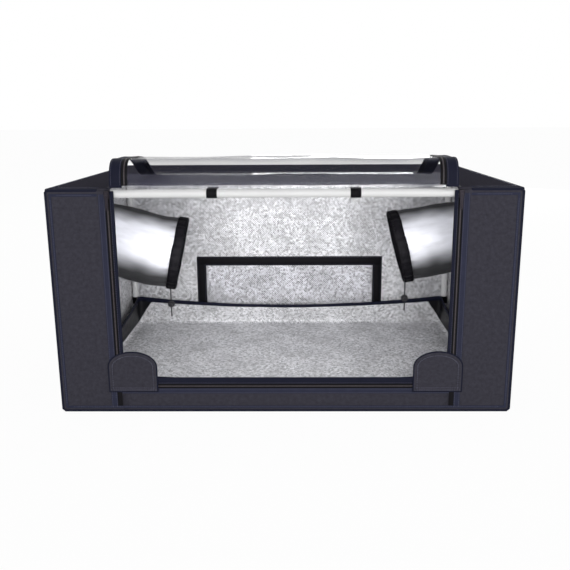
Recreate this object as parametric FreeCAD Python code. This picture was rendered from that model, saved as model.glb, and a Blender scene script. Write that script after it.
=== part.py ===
import FreeCAD
import Part
import math
import os

# Table-top plant propagator: a fabric tent on a tube frame, its clear zip door folded back on the roof.
# Millimetres. +X is the right-hand side seen from the front, +Y goes to the back and +Z is up.
# The origin is the middle of the footprint, on the surface that the tent stands on.

# Fabric shell, outside
WIDTH = 900.0
DEPTH = 600.0
HEIGHT = 450.0
FABRIC = 2.0

# Clearances
SEAT = 0.3

# Tube frame and its corner connectors
TUBE_D = 16.0
TUBE_WALL = 1.2
HUB_PROUD = 1.0
HUB_REACH = 14.0
SPIGOT_LENGTH = 22.0
SPIGOT_CLEARANCE = 0.2

# Front opening, its sill and the clear strip of the roof behind it
OPENING_W = 650.0
SILL_H = 74.0
ROOF_WINDOW_D = 90.0

# Zip round the opening, with one slider on each side
ZIP_W = 8.0
ZIP_T = 1.5
ZIP_EDGE = 1.0
ZIP_BOTTOM_Z = 57.0
SLIDER_W = 10.0
SLIDER_H = 14.0
SLIDER_T = 3.2
SLIDER_BEVEL = 1.2
SLIDER_PARK = 3.0
PULL_W = 6.0
PULL_LENGTH = 22.0
PULL_T = 1.4
PULL_EYE_D = 3.0

# Clear door: four flat spans from the front edge of the roof, as it lies folded back
DOOR_T = 1.6
DOOR_SIDE_GAP = 2.0
DOOR_OUTSET = 5.0
DOOR_RISE = 1.5
DOOR_BAND = 28.0
DOOR_SPAN_1 = 46.0
DOOR_SPAN_2 = 130.0
DOOR_SPAN_3 = 125.0
DOOR_SPAN_4 = 99.0
DOOR_HEM = 28.0
DOOR_ANGLE_1 = 80.0
DOOR_ANGLE_2 = 2.5
DOOR_LIE = 2.6
FOLD_PLAY = 0.2
HEADER_DROP = 4.0

# Webbing loops on the front rail and on the posts
WEBBING_T = 0.7
WEBBING_W = 20.0
STRAP_X = 135.0

# Duct ports, with a drawstring sock inside each
PORT_D = 150.0
PORT_Z = 312.0
PORT_RING_W = 14.0
PORT_RING_T = 1.5
SOCK_T = 2.0
SOCK_COLLAR = 25.0
SOCK_LENGTH = 148.0
SOCK_MOUTH_D = 172.0
SOCK_BEND = 45.0
SOCK_DROOP_LEFT = 17.0
SOCK_DROOP_RIGHT = 11.5
MOUTH_TILT_LEFT = 9.0
MOUTH_TILT_RIGHT = 11.5
CUFF_W = 22.0
CUFF_T = 3.0

# Drawcord, its lock and the lock's button
CORD_D = 3.0
CORD_LENGTH = 66.0
CORD_INSET = 6.0
CORD_SEAT = 0.1
KNOT_D = 5.6
LOCK_D = 17.0
LOCK_FLAT = 14.0
LOCK_BELOW = 38.0
LOCK_HOLE_D = 3.8
BUTTON_D = 8.0
BUTTON_PROUD = 4.0
BUTTON_TRAVEL = 2.5
BUTTON_DEPTH = 11.0

# Vent in the back wall, with its tape frame inside and its flap outside
VENT_W = 524.0
VENT_H = 168.0
VENT_Z = 25.0
TAPE_W = 26.0
TAPE_T = 1.2
VENT_LAP = 12.0
VENT_FLAP_T = 1.5

# Floor tray, tied up at the posts and sagging between them
TRAY_WALL = 2.0
TRAY_CORNER_H = 82.0
TRAY_SAG = 24.0
TRAY_BINDING_H = 8.0
TIE_BELOW = 3.0
TIE_TAB = 3.0

# Flaps with an arched top over the lower corners of the opening
FLAP_W = 98.0
FLAP_H = 85.0
FLAP_CROWN = 32.0
FLAP_T = 1.5
FLAP_Z = 45.0
FLAP_INSET = 24.0

# Places worked out from the sizes above
V = FreeCAD.Vector
SIDES = (("left", -1), ("right", 1))
ENDS = (("front", -1), ("back", 1))
HALF_W = WIDTH / 2
HALF_D = DEPTH / 2
INNER_X = HALF_W - FABRIC
INNER_Y = HALF_D - FABRIC
ROOF_UNDER = HEIGHT - FABRIC
OPENING_X = OPENING_W / 2
TUBE_R = TUBE_D / 2
TUBE_BORE_R = TUBE_R - TUBE_WALL
HUB_R = TUBE_R + HUB_PROUD
AXIS_INSET = SEAT + HUB_R
AXIS_X = INNER_X - AXIS_INSET
AXIS_Y = INNER_Y - AXIS_INSET
AXIS_BOTTOM = FABRIC + AXIS_INSET
AXIS_TOP = ROOF_UNDER - AXIS_INSET
LEVELS = (("bottom", AXIS_BOTTOM, -1), ("top", AXIS_TOP, 1))
ZIP_X = OPENING_X + ZIP_EDGE + ZIP_W / 2
ZIP_FRONT = -HALF_D - ZIP_T
DOOR_X = OPENING_X - DOOR_SIDE_GAP
HINGE_Y = -HALF_D - DOOR_OUTSET
HINGE_Z = HEIGHT + DOOR_RISE
PORT_R = PORT_D / 2
MOUTH_R = SOCK_MOUTH_D / 2
TRAY_X = AXIS_X - HUB_R - SEAT
TRAY_Y = AXIS_Y - HUB_R - SEAT
TRAY_Z = FABRIC + SEAT


def block(x0, x1, y0, y1, z0, z1):
    """Box between two corners, given in any order along each axis."""
    low = V(min(x0, x1), min(y0, y1), min(z0, z1))
    return Part.makeBox(abs(x1 - x0), abs(y1 - y0), abs(z1 - z0), low)


def rod(radius, start, end):
    """Round bar from one point to another."""
    run = end.sub(start)
    return Part.makeCylinder(radius, run.Length, start, run)


def pipe(outer, inner, start, end):
    """Round tube from one point to another."""
    return rod(outer, start, end).cut(rod(inner, start, end))


def frame_tube(start, end):
    """One straight tube of the frame."""
    return pipe(TUBE_R, TUBE_BORE_R, start, end)


def frame_tubes():
    """Four posts and eight rails, each ending on the collar of a corner connector."""
    nodes = {}
    reach_x = AXIS_X - HUB_REACH
    reach_y = AXIS_Y - HUB_REACH
    for end, sy in ENDS:
        for side, sx in SIDES:
            low = V(sx * AXIS_X, sy * AXIS_Y, AXIS_BOTTOM + HUB_REACH)
            high = V(sx * AXIS_X, sy * AXIS_Y, AXIS_TOP - HUB_REACH)
            nodes[f"post_{end}_{side}"] = frame_tube(low, high)
    for level, z, _ in LEVELS:
        for end, sy in ENDS:
            nodes[f"rail_{level}_{end}"] = frame_tube(V(-reach_x, sy * AXIS_Y, z), V(reach_x, sy * AXIS_Y, z))
        for side, sx in SIDES:
            nodes[f"rail_{level}_{side}"] = frame_tube(V(sx * AXIS_X, -reach_y, z), V(sx * AXIS_X, reach_y, z))
    return nodes


def corner_connector(sx, sy, z, sz):
    """Ball with three collars that the tubes butt on, and three spigots inside the tubes."""
    centre = V(sx * AXIS_X, sy * AXIS_Y, z)
    shape = Part.makeSphere(HUB_R, centre)
    for way in (V(-sx, 0, 0), V(0, -sy, 0), V(0, 0, -sz)):
        collar = Part.makeCylinder(TUBE_R, HUB_REACH, centre, way)
        spigot = Part.makeCylinder(TUBE_BORE_R - SPIGOT_CLEARANCE, HUB_REACH + SPIGOT_LENGTH, centre, way)
        shape = shape.fuse(collar).fuse(spigot)
    return shape.removeSplitter()


def connectors():
    """The four connectors of each level, as separate solids in one node."""
    nodes = {}
    for level, z, sz in LEVELS:
        corners = [corner_connector(sx, sy, z, sz) for _, sx in SIDES for _, sy in ENDS]
        nodes[f"connectors_{level}"] = Part.makeCompound(corners)
    return nodes


def shell_panels():
    """Sewn panels of the tent, meeting edge to edge."""
    nodes = {}
    nodes["floor_panel"] = block(-HALF_W, HALF_W, -HALF_D, HALF_D, 0, FABRIC)
    for side, sx in SIDES:
        wall = block(sx * INNER_X, sx * HALF_W, -HALF_D, HALF_D, FABRIC, ROOF_UNDER)
        port = rod(PORT_R, V(sx * (INNER_X - FABRIC), 0, PORT_Z), V(sx * (HALF_W + FABRIC), 0, PORT_Z))
        nodes[f"{side}_wall"] = wall.cut(port)
        nodes[f"front_{side}_strip"] = block(
            sx * OPENING_X, sx * INNER_X, -HALF_D, -INNER_Y, FABRIC, ROOF_UNDER)
    back = block(-INNER_X, INNER_X, INNER_Y, HALF_D, FABRIC, ROOF_UNDER)
    nodes["back_wall"] = back.cut(vent_hole())
    nodes["front_sill"] = block(-OPENING_X, OPENING_X, -HALF_D, -INNER_Y, FABRIC, SILL_H)
    window = block(-OPENING_X, OPENING_X, -HALF_D, -HALF_D + ROOF_WINDOW_D, ROOF_UNDER, HEIGHT)
    nodes["roof_window"] = window
    nodes["roof_panel"] = block(-HALF_W, HALF_W, -HALF_D, HALF_D, ROOF_UNDER, HEIGHT).cut(window)
    return nodes


def vent_hole():
    """The vent's opening through the back wall, inside its tape frame."""
    half = VENT_W / 2 - TAPE_W
    return block(-half, half, INNER_Y - FABRIC, HALF_D + FABRIC, VENT_Z + TAPE_W, VENT_Z + VENT_H - TAPE_W)


def vent_pieces():
    """Tape frame on the inside of the back wall and flap on the outside."""
    half = VENT_W / 2
    top = VENT_Z + VENT_H
    frame = block(-half, half, INNER_Y - TAPE_T, INNER_Y, VENT_Z, top).cut(vent_hole())
    lap_x = half - TAPE_W + VENT_LAP
    low = VENT_Z + TAPE_W - VENT_LAP
    high = top - TAPE_W + VENT_LAP
    flap = block(-lap_x, lap_x, HALF_D + SEAT, HALF_D + SEAT + VENT_FLAP_T, low, high)
    return {"vent_tape_frame": frame, "vent_flap": flap}


def zip_tracks():
    """Coil zip on the face of the strips and the sill."""
    nodes = {}
    low = ZIP_BOTTOM_Z - ZIP_W / 2
    high = ZIP_BOTTOM_Z + ZIP_W / 2
    outer = ZIP_X + ZIP_W / 2
    nodes["zip_track_bottom"] = block(-outer, outer, ZIP_FRONT, -HALF_D, low, high)
    for side, sx in SIDES:
        nodes[f"zip_track_{side}"] = block(
            sx * (outer - ZIP_W), sx * outer, ZIP_FRONT, -HALF_D, high, ROOF_UNDER)
    return nodes


def zip_slider(sx):
    """Slider body with its pull tab hanging down, parked at the top of its track."""
    x = sx * ZIP_X
    top = ROOF_UNDER - SLIDER_PARK
    back = ZIP_FRONT - SEAT
    front = back - SLIDER_T
    body = block(x - SLIDER_W / 2, x + SLIDER_W / 2, front, back, top - SLIDER_H, top)
    upright = [edge for edge in body.Edges if abs(edge.tangentAt(edge.FirstParameter).z) > 0.5]
    body = body.makeChamfer(SLIDER_BEVEL, upright)
    low = top - SLIDER_H - PULL_LENGTH
    pull = block(x - PULL_W / 2, x + PULL_W / 2, front - PULL_T, front, low, top - SLIDER_H / 2)
    eye_z = low + PULL_W / 2
    eye = rod(PULL_EYE_D / 2, V(x, front - PULL_T, eye_z), V(x, front, eye_z))
    return body.fuse(pull.cut(eye))


def door_points():
    """Fold lines of the door from its hinge to its free edge, and the angle of each span."""
    points = [V(0, HINGE_Y, HINGE_Z)]
    points.append(points[0].add(fold_way(DOOR_ANGLE_1).multiply(DOOR_SPAN_1)))
    points.append(points[1].add(fold_way(DOOR_ANGLE_2).multiply(DOOR_SPAN_2)))
    fall = points[2].z - HEIGHT - DOOR_LIE
    down = -math.degrees(math.asin(fall / DOOR_SPAN_3))
    points.append(points[2].add(fold_way(down).multiply(DOOR_SPAN_3)))
    drop = points[3].z - HEIGHT - SEAT
    flat = -math.degrees(math.asin(drop / math.hypot(DOOR_SPAN_4, DOOR_T / 2)))
    flat += math.degrees(math.atan2(DOOR_T / 2, DOOR_SPAN_4))
    points.append(points[3].add(fold_way(flat).multiply(DOOR_SPAN_4)))
    return points, [DOOR_ANGLE_1, DOOR_ANGLE_2, down, flat]


def fold_way(angle):
    """Direction of a span, turned up from +Y."""
    return V(0, math.cos(math.radians(angle)), math.sin(math.radians(angle)))


def fold_gaps(angles):
    """Distance that the spans stop short of each fold line, so that their inner corners clear."""
    turns = [0.0] + [abs(a - b) for a, b in zip(angles, angles[1:])]
    return [FOLD_PLAY + DOOR_T / 2 * math.tan(math.radians(turn / 2)) for turn in turns] + [0.0]


def door_plate(x0, x1, start, end, angle, start_gap, end_gap):
    """Flat plate between two fold lines, short of each by its gap."""
    length = end.sub(start).Length
    plate = block(x0, x1, start_gap, length - end_gap, -DOOR_T / 2, DOOR_T / 2)
    plate.rotate(V(0, 0, 0), V(1, 0, 0), angle)
    plate.translate(start)
    return plate


def door_pieces():
    """Clear window and fabric side bands of each span, the hem with the last bands, and the clear header."""
    nodes = {}
    points, angles = door_points()
    clear_x = DOOR_X - DOOR_BAND
    gaps = fold_gaps(angles)
    for number in range(3):
        place = (points[number], points[number + 1], angles[number], gaps[number], gaps[number + 1])
        bands = [door_plate(-DOOR_X, -clear_x, *place), door_plate(clear_x, DOOR_X, *place)]
        nodes[f"door_window_{number + 1}"] = door_plate(-clear_x, clear_x, *place)
        nodes[f"door_bands_{number + 1}"] = Part.makeCompound(bands)
    seam = points[3].add(fold_way(angles[3]).multiply(DOOR_SPAN_4 - DOOR_HEM))
    nodes["door_window_4"] = door_plate(-clear_x, clear_x, points[3], seam, angles[3], gaps[3], 0)
    last_span = door_plate(-DOOR_X, DOOR_X, points[3], points[4], angles[3], gaps[3], 0)
    nodes["door_hem"] = last_span.cut(nodes["door_window_4"])
    corner = math.hypot(FOLD_PLAY, DOOR_T / 2)
    nodes["door_header"] = block(
        -DOOR_X, DOOR_X, HINGE_Y + corner + SEAT / 2, -HALF_D, HEIGHT - HEADER_DROP, HINGE_Z)
    return nodes


def webbing_loop(start, end):
    """Webbing wrapped round a tube of the frame."""
    inner = TUBE_R + SEAT
    return pipe(inner + WEBBING_T, inner, start, end)


def pole_straps():
    """Two straps round the front rail that hold the door when it is rolled up."""
    nodes = {}
    half = WEBBING_W / 2
    for side, sx in SIDES:
        middle = V(sx * STRAP_X, -AXIS_Y, AXIS_TOP)
        nodes[f"pole_strap_{side}"] = webbing_loop(middle.sub(V(half, 0, 0)), middle.add(V(half, 0, 0)))
    return nodes


def sock_axis(sx):
    """End of the level collar, and the way that the sock droops from there."""
    droop = math.radians(SOCK_DROOP_RIGHT if sx > 0 else SOCK_DROOP_LEFT)
    root = V(sx * (INNER_X - SOCK_COLLAR), 0, PORT_Z)
    return root, V(-sx * math.cos(droop), 0, -math.sin(droop))


def mouth_tilt(sx):
    """How far the mouth of one side's sock leans from upright, in radians."""
    return math.radians(MOUTH_TILT_RIGHT if sx > 0 else MOUTH_TILT_LEFT)


def mouth_axes(sx):
    """Middle of the sock's mouth, the way that it faces and the way up across it."""
    root, along = sock_axis(sx)
    tilt = mouth_tilt(sx)
    ahead = V(-sx * math.cos(tilt), 0, -math.sin(tilt))
    up = V(-sx * math.sin(tilt), 0, math.cos(tilt))
    return root.add(V(along).multiply(SOCK_LENGTH)), ahead, up


def ring_wire(radius, centre, normal):
    """Closed circle as a wire."""
    return Part.Wire(Part.makeCircle(radius, centre, normal))


def duct_sock(sx):
    """Fabric sleeve with a level collar at the wall, widening from there to its drooping mouth."""
    root, along = sock_axis(sx)
    mouth, ahead, _ = mouth_axes(sx)
    bend = root.add(V(along).multiply(SOCK_BEND))
    bend_r = PORT_R + (MOUTH_R - PORT_R) * SOCK_BEND / SOCK_LENGTH
    skins = []
    for extra in (SOCK_T, 0):
        wires = [ring_wire(PORT_R + extra, root, V(-sx, 0, 0)),
                 ring_wire(bend_r + extra, bend, along),
                 ring_wire(MOUTH_R + extra, mouth, ahead)]
        skins.append(Part.makeLoft(wires, True, True))
    collar = pipe(PORT_R + SOCK_T, PORT_R, root.add(V(sx * SOCK_COLLAR, 0, 0)), root)
    return collar.fuse(skins[0].cut(skins[1]))


def duct_pieces():
    """Reinforcing ring outside each port, the sock inside and the drawstring cuff at its mouth."""
    nodes = {}
    for side, sx in SIDES:
        mouth, ahead, _ = mouth_axes(sx)
        face = V(sx * HALF_W, 0, PORT_Z)
        nodes[f"port_ring_{side}"] = pipe(
            PORT_R + PORT_RING_W, PORT_R, face, face.add(V(sx * PORT_RING_T, 0, 0)))
        nodes[f"duct_sock_{side}"] = duct_sock(sx)
        end = mouth.add(V(ahead).multiply(CUFF_W))
        nodes[f"duct_cuff_{side}"] = pipe(MOUTH_R + CUFF_T, MOUTH_R, mouth, end)
    return nodes


def cord_top(sx):
    """Point under the cuff where the drawcord comes out, its flat end just clear of the slanted cuff."""
    mouth, ahead, up = mouth_axes(sx)
    middle = mouth.add(V(ahead).multiply(CUFF_W - CORD_INSET))
    under = middle.sub(V(up).multiply(MOUTH_R + CUFF_T))
    slant = CORD_D / 2 * math.tan(mouth_tilt(sx))
    return under.sub(V(0, 0, slant + CORD_SEAT))


def cord_lock(middle):
    """Flattened ball with an upright hole for the cord and a blind bore for the button."""
    ball = Part.makeSphere(LOCK_D / 2, middle)
    half = LOCK_FLAT / 2
    ball = ball.common(block(middle.x - LOCK_D, middle.x + LOCK_D, middle.y - half, middle.y + half,
                             middle.z - half, middle.z + half))
    hole = rod(LOCK_HOLE_D / 2, middle.sub(V(0, 0, LOCK_D)), middle.add(V(0, 0, LOCK_D)))
    front = V(middle.x, middle.y - half, middle.z)
    bore = rod(BUTTON_D / 2 + SEAT, front.sub(V(0, half, 0)), front.add(V(0, BUTTON_DEPTH, 0)))
    return ball.cut(hole).cut(bore)


def lock_button(middle):
    """Button of the lock, slotted so that the cord passes through it at both ends of its travel."""
    front = middle.y - LOCK_FLAT / 2
    back = front + BUTTON_DEPTH - BUTTON_TRAVEL - SEAT
    stem = rod(BUTTON_D / 2, V(middle.x, front - BUTTON_PROUD, middle.z), V(middle.x, back, middle.z))
    slot_r = LOCK_HOLE_D / 2
    tall = BUTTON_D
    slot = block(middle.x - slot_r, middle.x + slot_r, middle.y - slot_r - BUTTON_TRAVEL, middle.y + slot_r,
                 middle.z - tall, middle.z + tall)
    return stem.cut(slot)


def cord_pieces():
    """Drawcord hanging straight under each cuff, knotted at its end, with its lock and the lock's button."""
    nodes = {}
    for side, sx in SIDES:
        top = cord_top(sx)
        end = top.sub(V(0, 0, CORD_LENGTH))
        cord = rod(CORD_D / 2, end, top)
        ideal = math.pi * (CORD_D / 2) ** 2 * CORD_LENGTH
        print(f"drawcord {side}: one straight run of {CORD_LENGTH:.1f}, volume {cord.Volume / ideal:.4f} of ideal")
        nodes[f"drawcord_{side}"] = cord.fuse(Part.makeSphere(KNOT_D / 2, end))
        middle = top.sub(V(0, 0, LOCK_BELOW))
        nodes[f"cord_lock_{side}"] = cord_lock(middle)
        nodes[f"cord_lock_button_{side}"] = lock_button(middle)
    return nodes


def sagging_strip(length, thickness, corner_low, corner_high, sag_low):
    """Upright strip along X about the origin, its top edge sagging between its ends."""
    half = length / 2
    low = [V(-half, 0, corner_low), V(half, 0, corner_low)]
    high = [V(-half, 0, corner_high), V(half, 0, corner_high)]
    top = Part.Arc(high[1], V(0, 0, corner_high - TRAY_SAG), high[0]).toShape()
    if sag_low:
        bottom = Part.Arc(low[0], V(0, 0, corner_low - TRAY_SAG), low[1]).toShape()
    else:
        bottom = Part.LineSegment(low[0], low[1]).toShape()
    ends = [Part.LineSegment(low[1], high[1]).toShape(), Part.LineSegment(high[0], low[0]).toShape()]
    outline = Part.Wire([bottom, ends[0], top, ends[1]])
    return Part.Face(outline).extrude(V(0, thickness, 0))


def tray_ring(corner_low, corner_high, sag_low):
    """Four strips round the tray, front and back ones the full width, fused at the corners."""
    ring = None
    for _, sy in ENDS:
        strip = sagging_strip(2 * TRAY_X, TRAY_WALL, corner_low, corner_high, sag_low)
        strip.translate(V(0, TRAY_Y - TRAY_WALL if sy > 0 else -TRAY_Y, 0))
        ring = strip if ring is None else ring.fuse(strip)
    for _, sx in SIDES:
        strip = sagging_strip(2 * (TRAY_Y - TRAY_WALL), TRAY_WALL, corner_low, corner_high, sag_low)
        strip.rotate(V(0, 0, 0), V(0, 0, 1), 90)
        strip.translate(V(TRAY_X if sx > 0 else -TRAY_X + TRAY_WALL, 0, 0))
        ring = ring.fuse(strip)
    return ring.removeSplitter()


def tray_pieces():
    """Floor and walls of the tray, the binding on its rim and the loops that tie its corners to the posts."""
    base = block(-TRAY_X, TRAY_X, -TRAY_Y, TRAY_Y, TRAY_Z, TRAY_Z + TRAY_WALL)
    wall_high = TRAY_CORNER_H - TRAY_BINDING_H
    walls = tray_ring(TRAY_Z + TRAY_WALL, wall_high, False)
    binding = tray_ring(wall_high, TRAY_CORNER_H, True)
    high = TRAY_CORNER_H - TIE_BELOW
    low = high - WEBBING_W
    ties = []
    for _, sx in SIDES:
        for _, sy in ENDS:
            post = V(sx * AXIS_X, sy * AXIS_Y, low)
            loop = webbing_loop(post, V(post.x, post.y, high))
            inner = TUBE_R + SEAT + WEBBING_T / 2
            corner = math.hypot(AXIS_X - TRAY_X, AXIS_Y - TRAY_Y)
            tab = block(inner, corner + TRAY_WALL / 2, -TIE_TAB / 2, TIE_TAB / 2, 0, WEBBING_W)
            tab.rotate(V(0, 0, 0), V(0, 0, 1), math.degrees(math.atan2(-sy, -sx)))
            tab.translate(post)
            ties.append(loop.fuse(tab.cut(walls).cut(binding)))
    pieces = {"floor_tray": base, "tray_walls": walls, "tray_binding": binding}
    pieces["tray_ties"] = Part.makeCompound(ties)
    return pieces


def corner_flap(sx):
    """Upright flap with an arched top, sewn along its base outside the zip."""
    x = sx * (OPENING_X - FLAP_INSET)
    half = FLAP_W / 2
    back = ZIP_FRONT - SEAT
    shoulder = FLAP_Z + FLAP_H - FLAP_CROWN
    crown = Part.ArcOfEllipse(Part.Ellipse(V(0, 0, 0), half, FLAP_CROWN), 0, math.pi).toShape()
    crown.rotate(V(0, 0, 0), V(1, 0, 0), 90)
    crown.translate(V(x, back, shoulder))
    corners = [V(x - half, back, shoulder), V(x - half, back, FLAP_Z)]
    corners += [V(x + half, back, FLAP_Z), V(x + half, back, shoulder)]
    sides = [Part.LineSegment(a, b).toShape() for a, b in zip(corners, corners[1:])]
    return Part.Face(Part.Wire([crown] + sides)).extrude(V(0, -FLAP_T, 0))


def all_nodes():
    """Every piece of the propagator by its node name."""
    nodes = {}
    for group in (frame_tubes, connectors, shell_panels, vent_pieces, zip_tracks, door_pieces,
                  pole_straps, duct_pieces, cord_pieces, tray_pieces):
        nodes.update(group())
    for side, sx in SIDES:
        nodes[f"zip_slider_{side}"] = zip_slider(sx)
        nodes[f"corner_flap_{side}"] = corner_flap(sx)
    return nodes


os.makedirs("parts", exist_ok=True)
for name, shape in all_nodes().items():
    shape.exportStep(f"parts/{name}.step")
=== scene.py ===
"""Dresses the frame of a table-top plant propagator with its sewn cloth, films, zips and cords."""
import math

import bmesh
import bpy
from bpy.props import FloatProperty, FloatVectorProperty, PointerProperty
from mathutils import Matrix, Vector, noise
from mathutils.geometry import interpolate_bezier


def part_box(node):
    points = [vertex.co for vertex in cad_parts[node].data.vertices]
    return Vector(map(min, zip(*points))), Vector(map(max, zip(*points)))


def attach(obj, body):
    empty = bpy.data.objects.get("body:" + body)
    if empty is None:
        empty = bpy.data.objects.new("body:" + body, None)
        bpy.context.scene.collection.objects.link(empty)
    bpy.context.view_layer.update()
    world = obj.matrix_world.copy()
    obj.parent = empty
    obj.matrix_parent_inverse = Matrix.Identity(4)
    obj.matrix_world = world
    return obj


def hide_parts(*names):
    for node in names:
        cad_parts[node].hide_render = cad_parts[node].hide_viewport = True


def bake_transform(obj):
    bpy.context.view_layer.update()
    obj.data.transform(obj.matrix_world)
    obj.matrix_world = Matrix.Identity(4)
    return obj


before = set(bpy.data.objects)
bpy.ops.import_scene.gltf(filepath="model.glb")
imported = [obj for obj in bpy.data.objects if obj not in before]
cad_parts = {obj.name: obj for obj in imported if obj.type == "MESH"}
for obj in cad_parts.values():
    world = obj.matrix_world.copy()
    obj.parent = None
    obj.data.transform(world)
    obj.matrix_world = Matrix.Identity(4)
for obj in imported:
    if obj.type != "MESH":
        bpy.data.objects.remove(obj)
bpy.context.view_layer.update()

bl_info = {
    "name": "Plant propagator tent",
    "version": (1, 0, 0),
    "blender": (4, 5, 0),
    "location": "View3D > Sidebar > Propagator",
    "description": "Dresses the frame of a propagation tent with its cloth, films, zips and cords",
    "category": "Object",
}

MM = 0.001
SIDES = {"left": -1.0, "right": 1.0}

# Places read from the frame
SHELL_LOW = Vector((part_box("left_wall")[0].x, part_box("front_sill")[0].y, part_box("floor_panel")[0].z))
SHELL_HIGH = Vector((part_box("right_wall")[1].x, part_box("back_wall")[1].y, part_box("roof_panel")[1].z))
FRONT_Y = SHELL_LOW.y
OPENING_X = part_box("front_sill")[1].x
SILL_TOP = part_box("front_sill")[1].z
WINDOW_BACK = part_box("roof_window")[1].y
PORT_Z = sum(corner.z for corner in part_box("port_ring_left")) / 2
ZIP_MID = sum(corner.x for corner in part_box("zip_track_right")) / 2
ZIP_LOW = sum(corner.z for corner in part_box("zip_track_bottom")) / 2

# Sizes of the part that its nodes' boxes don't give
PORT_RADIUS = 75 * MM
PORT_NET = 100 * MM
SOCK_COLLAR = 25 * MM
SOCK_LENGTH = 148 * MM
SOCK_MOUTH = 86 * MM
SOCK_STEPS = 64
CUFF_WIDTH = 22 * MM
DOOR_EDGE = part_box("door_hem")[1].x
DOOR_HEM = 28 * MM
DOOR_FOLD = 26 * MM
DOOR_ZIP = 295 * MM
ZIP_HALF = 4.8 * MM
SIDE_FACING = 12 * MM
SILL_FACING = 11 * MM
OPENING_LAP = 24 * MM
VENT_TAPE = 26 * MM
FLAP_CROWN = 32 * MM
FLAP_ROOM = 0.5 * MM
FLAP_BORDER = 0.25 * MM
FLAP_BOW = 0.2 * MM
FLAP_INSETS = (2.5 * MM, 6.5 * MM)
TRAY_RIM = 13 * MM
TRAY_GUSSET = 46 * MM
TRAY_ROUND = 12 * MM
TRAY_FOLD = 143 * MM
TRAY_LOW = 58 * MM
TRAY_CUTS = (30 * MM, 45 * MM, 60 * MM)
TRAY_FOOT = 8 * MM

# Thickness of the edge piping that runs along x, y and z
PIPING = (7.4 * MM, 8.0 * MM, 6.8 * MM)

# How each sock hangs: its droop, the tilt, lean, tip and reach of its mouth, and the fullness of its belly
SOCK_DROOP = {"left": math.radians(17.0), "right": math.radians(11.5)}
MOUTH_TILT = {"left": math.radians(9.0), "right": math.radians(11.5)}
SOCK_LEAN = {"left": 9 * MM, "right": 3 * MM}
SOCK_TIP = {"left": 5 * MM, "right": 4 * MM}
SOCK_REACH = {"left": 14 * MM, "right": 4 * MM}
SOCK_BELLY = {"left": 9 * MM, "right": 5 * MM}

# Sewing: how far tapes sink into the cloth and stand proud of it, and where rows of stitches lie on them
SUNK = 0.3 * MM
PROUD = 0.9 * MM
ROW_INSET = 1.6 * MM

# Nets that the sheets are cut into, and how their slack starts from a sewn edge
SHELL_NET = 24 * MM
TRAY_NET = 22 * MM
FILM_NET = 20 * MM
FLAP_NET = 10 * MM
BEND_NET = 6 * MM
SEWN_EDGE = 12 * MM
SLACK_RAMP = 60 * MM
CREASE = math.radians(40.0)

# Studio lights: name, place and aim, width and height in metres, power in watts
LIGHTS = (
    ("key", (0.2, -4.4, 1.0), (0.0, 0.0, 0.25), 2.4, 2.4, 80.0),
    ("fill", (2.6, -3.4, 1.4), (0.0, 0.0, 0.25), 1.8, 1.8, 16.0),
    ("top", (0.2, -0.4, 3.0), (0.0, 0.0, 0.4), 1.6, 1.6, 3.0),
    ("back", (0.8, 4.0, 0.3), (0.0, 0.0, 0.25), 2.4, 1.2, 70.0),
    ("left", (-4.0, 0.6, 0.3), (0.0, 0.0, 0.25), 2.0, 1.2, 40.0),
    ("right", (4.0, 0.6, 0.3), (0.0, 0.0, 0.25), 2.0, 1.2, 40.0),
    ("inner", (-0.03, -0.27, 0.31), (-0.03, 0.3, 0.27), 0.64, 0.22, 1.56),
)
SKY = 0.52
FLOOR_SIZE = 30.0
FLOOR_DROP = 0.2 * MM
FLOOR_GLOW = 0.96

# Camera: place in metres, turns in degrees, sensor and lens in millimetres, shifts in widths of the picture
CAMERA_PLACE = (0.0296, -1.5278, 0.5807)
CAMERA_TURNS = ((0.63, "Z"), (77.516, "X"), (-0.293, "Z"))
CAMERA_SENSOR = 36.0
CAMERA_LENS = 41.73
CAMERA_SHIFT = (-0.01332, -0.04035)

# Folded-back door seen from its side: knots and handles of its curve, (y, z) in millimetres
DOOR_CURVE = (
    ((-305.0, 451.5), (-305.5, 475.0), (-303.0, 507.0), (-261.0, 502.5)),
    ((-261.0, 502.5), (-229.0, 499.0), (-185.0, 507.0), (-149.0, 495.0)),
    ((-149.0, 495.0), (-113.0, 483.0), (-69.0, 453.5), (-42.0, 452.5)),
    ((-42.0, 452.5), (-10.0, 451.5), (22.0, 451.5), (45.0, 451.5)),
)

# Door's three parts: where each passes into the next, as runs along the cloth
DOOR_BORDERS = (110 * MM, 240 * MM)


def linear(code):
    """Linear red, green and blue of an sRGB hex colour."""
    parts = [int(code[i:i + 2], 16) / 255 for i in (1, 3, 5)]
    return tuple(p / 12.92 if p <= 0.04045 else ((p + 0.055) / 1.055) ** 2.4 for p in parts)


def shade(colour, factor):
    """Shader colour that is a darker or lighter form of a user's colour."""
    return (*(min(part * factor, 1.0) for part in colour), 1.0)


def ease(t):
    """Smooth step from 0 to 1."""
    t = min(max(t, 0.0), 1.0)
    return t * t * (3.0 - 2.0 * t)


def length_property(name, text, millimetres):
    """Length that a user may change."""
    return FloatProperty(name=name, description=text, default=millimetres * MM, min=0.0, precision=4,
                         unit="LENGTH")


def colour_property(name, text, code):
    """Colour that a user may change."""
    return FloatVectorProperty(name=name, description=text, default=linear(code), size=3, min=0.0, max=1.0,
                               subtype="COLOR")


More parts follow.
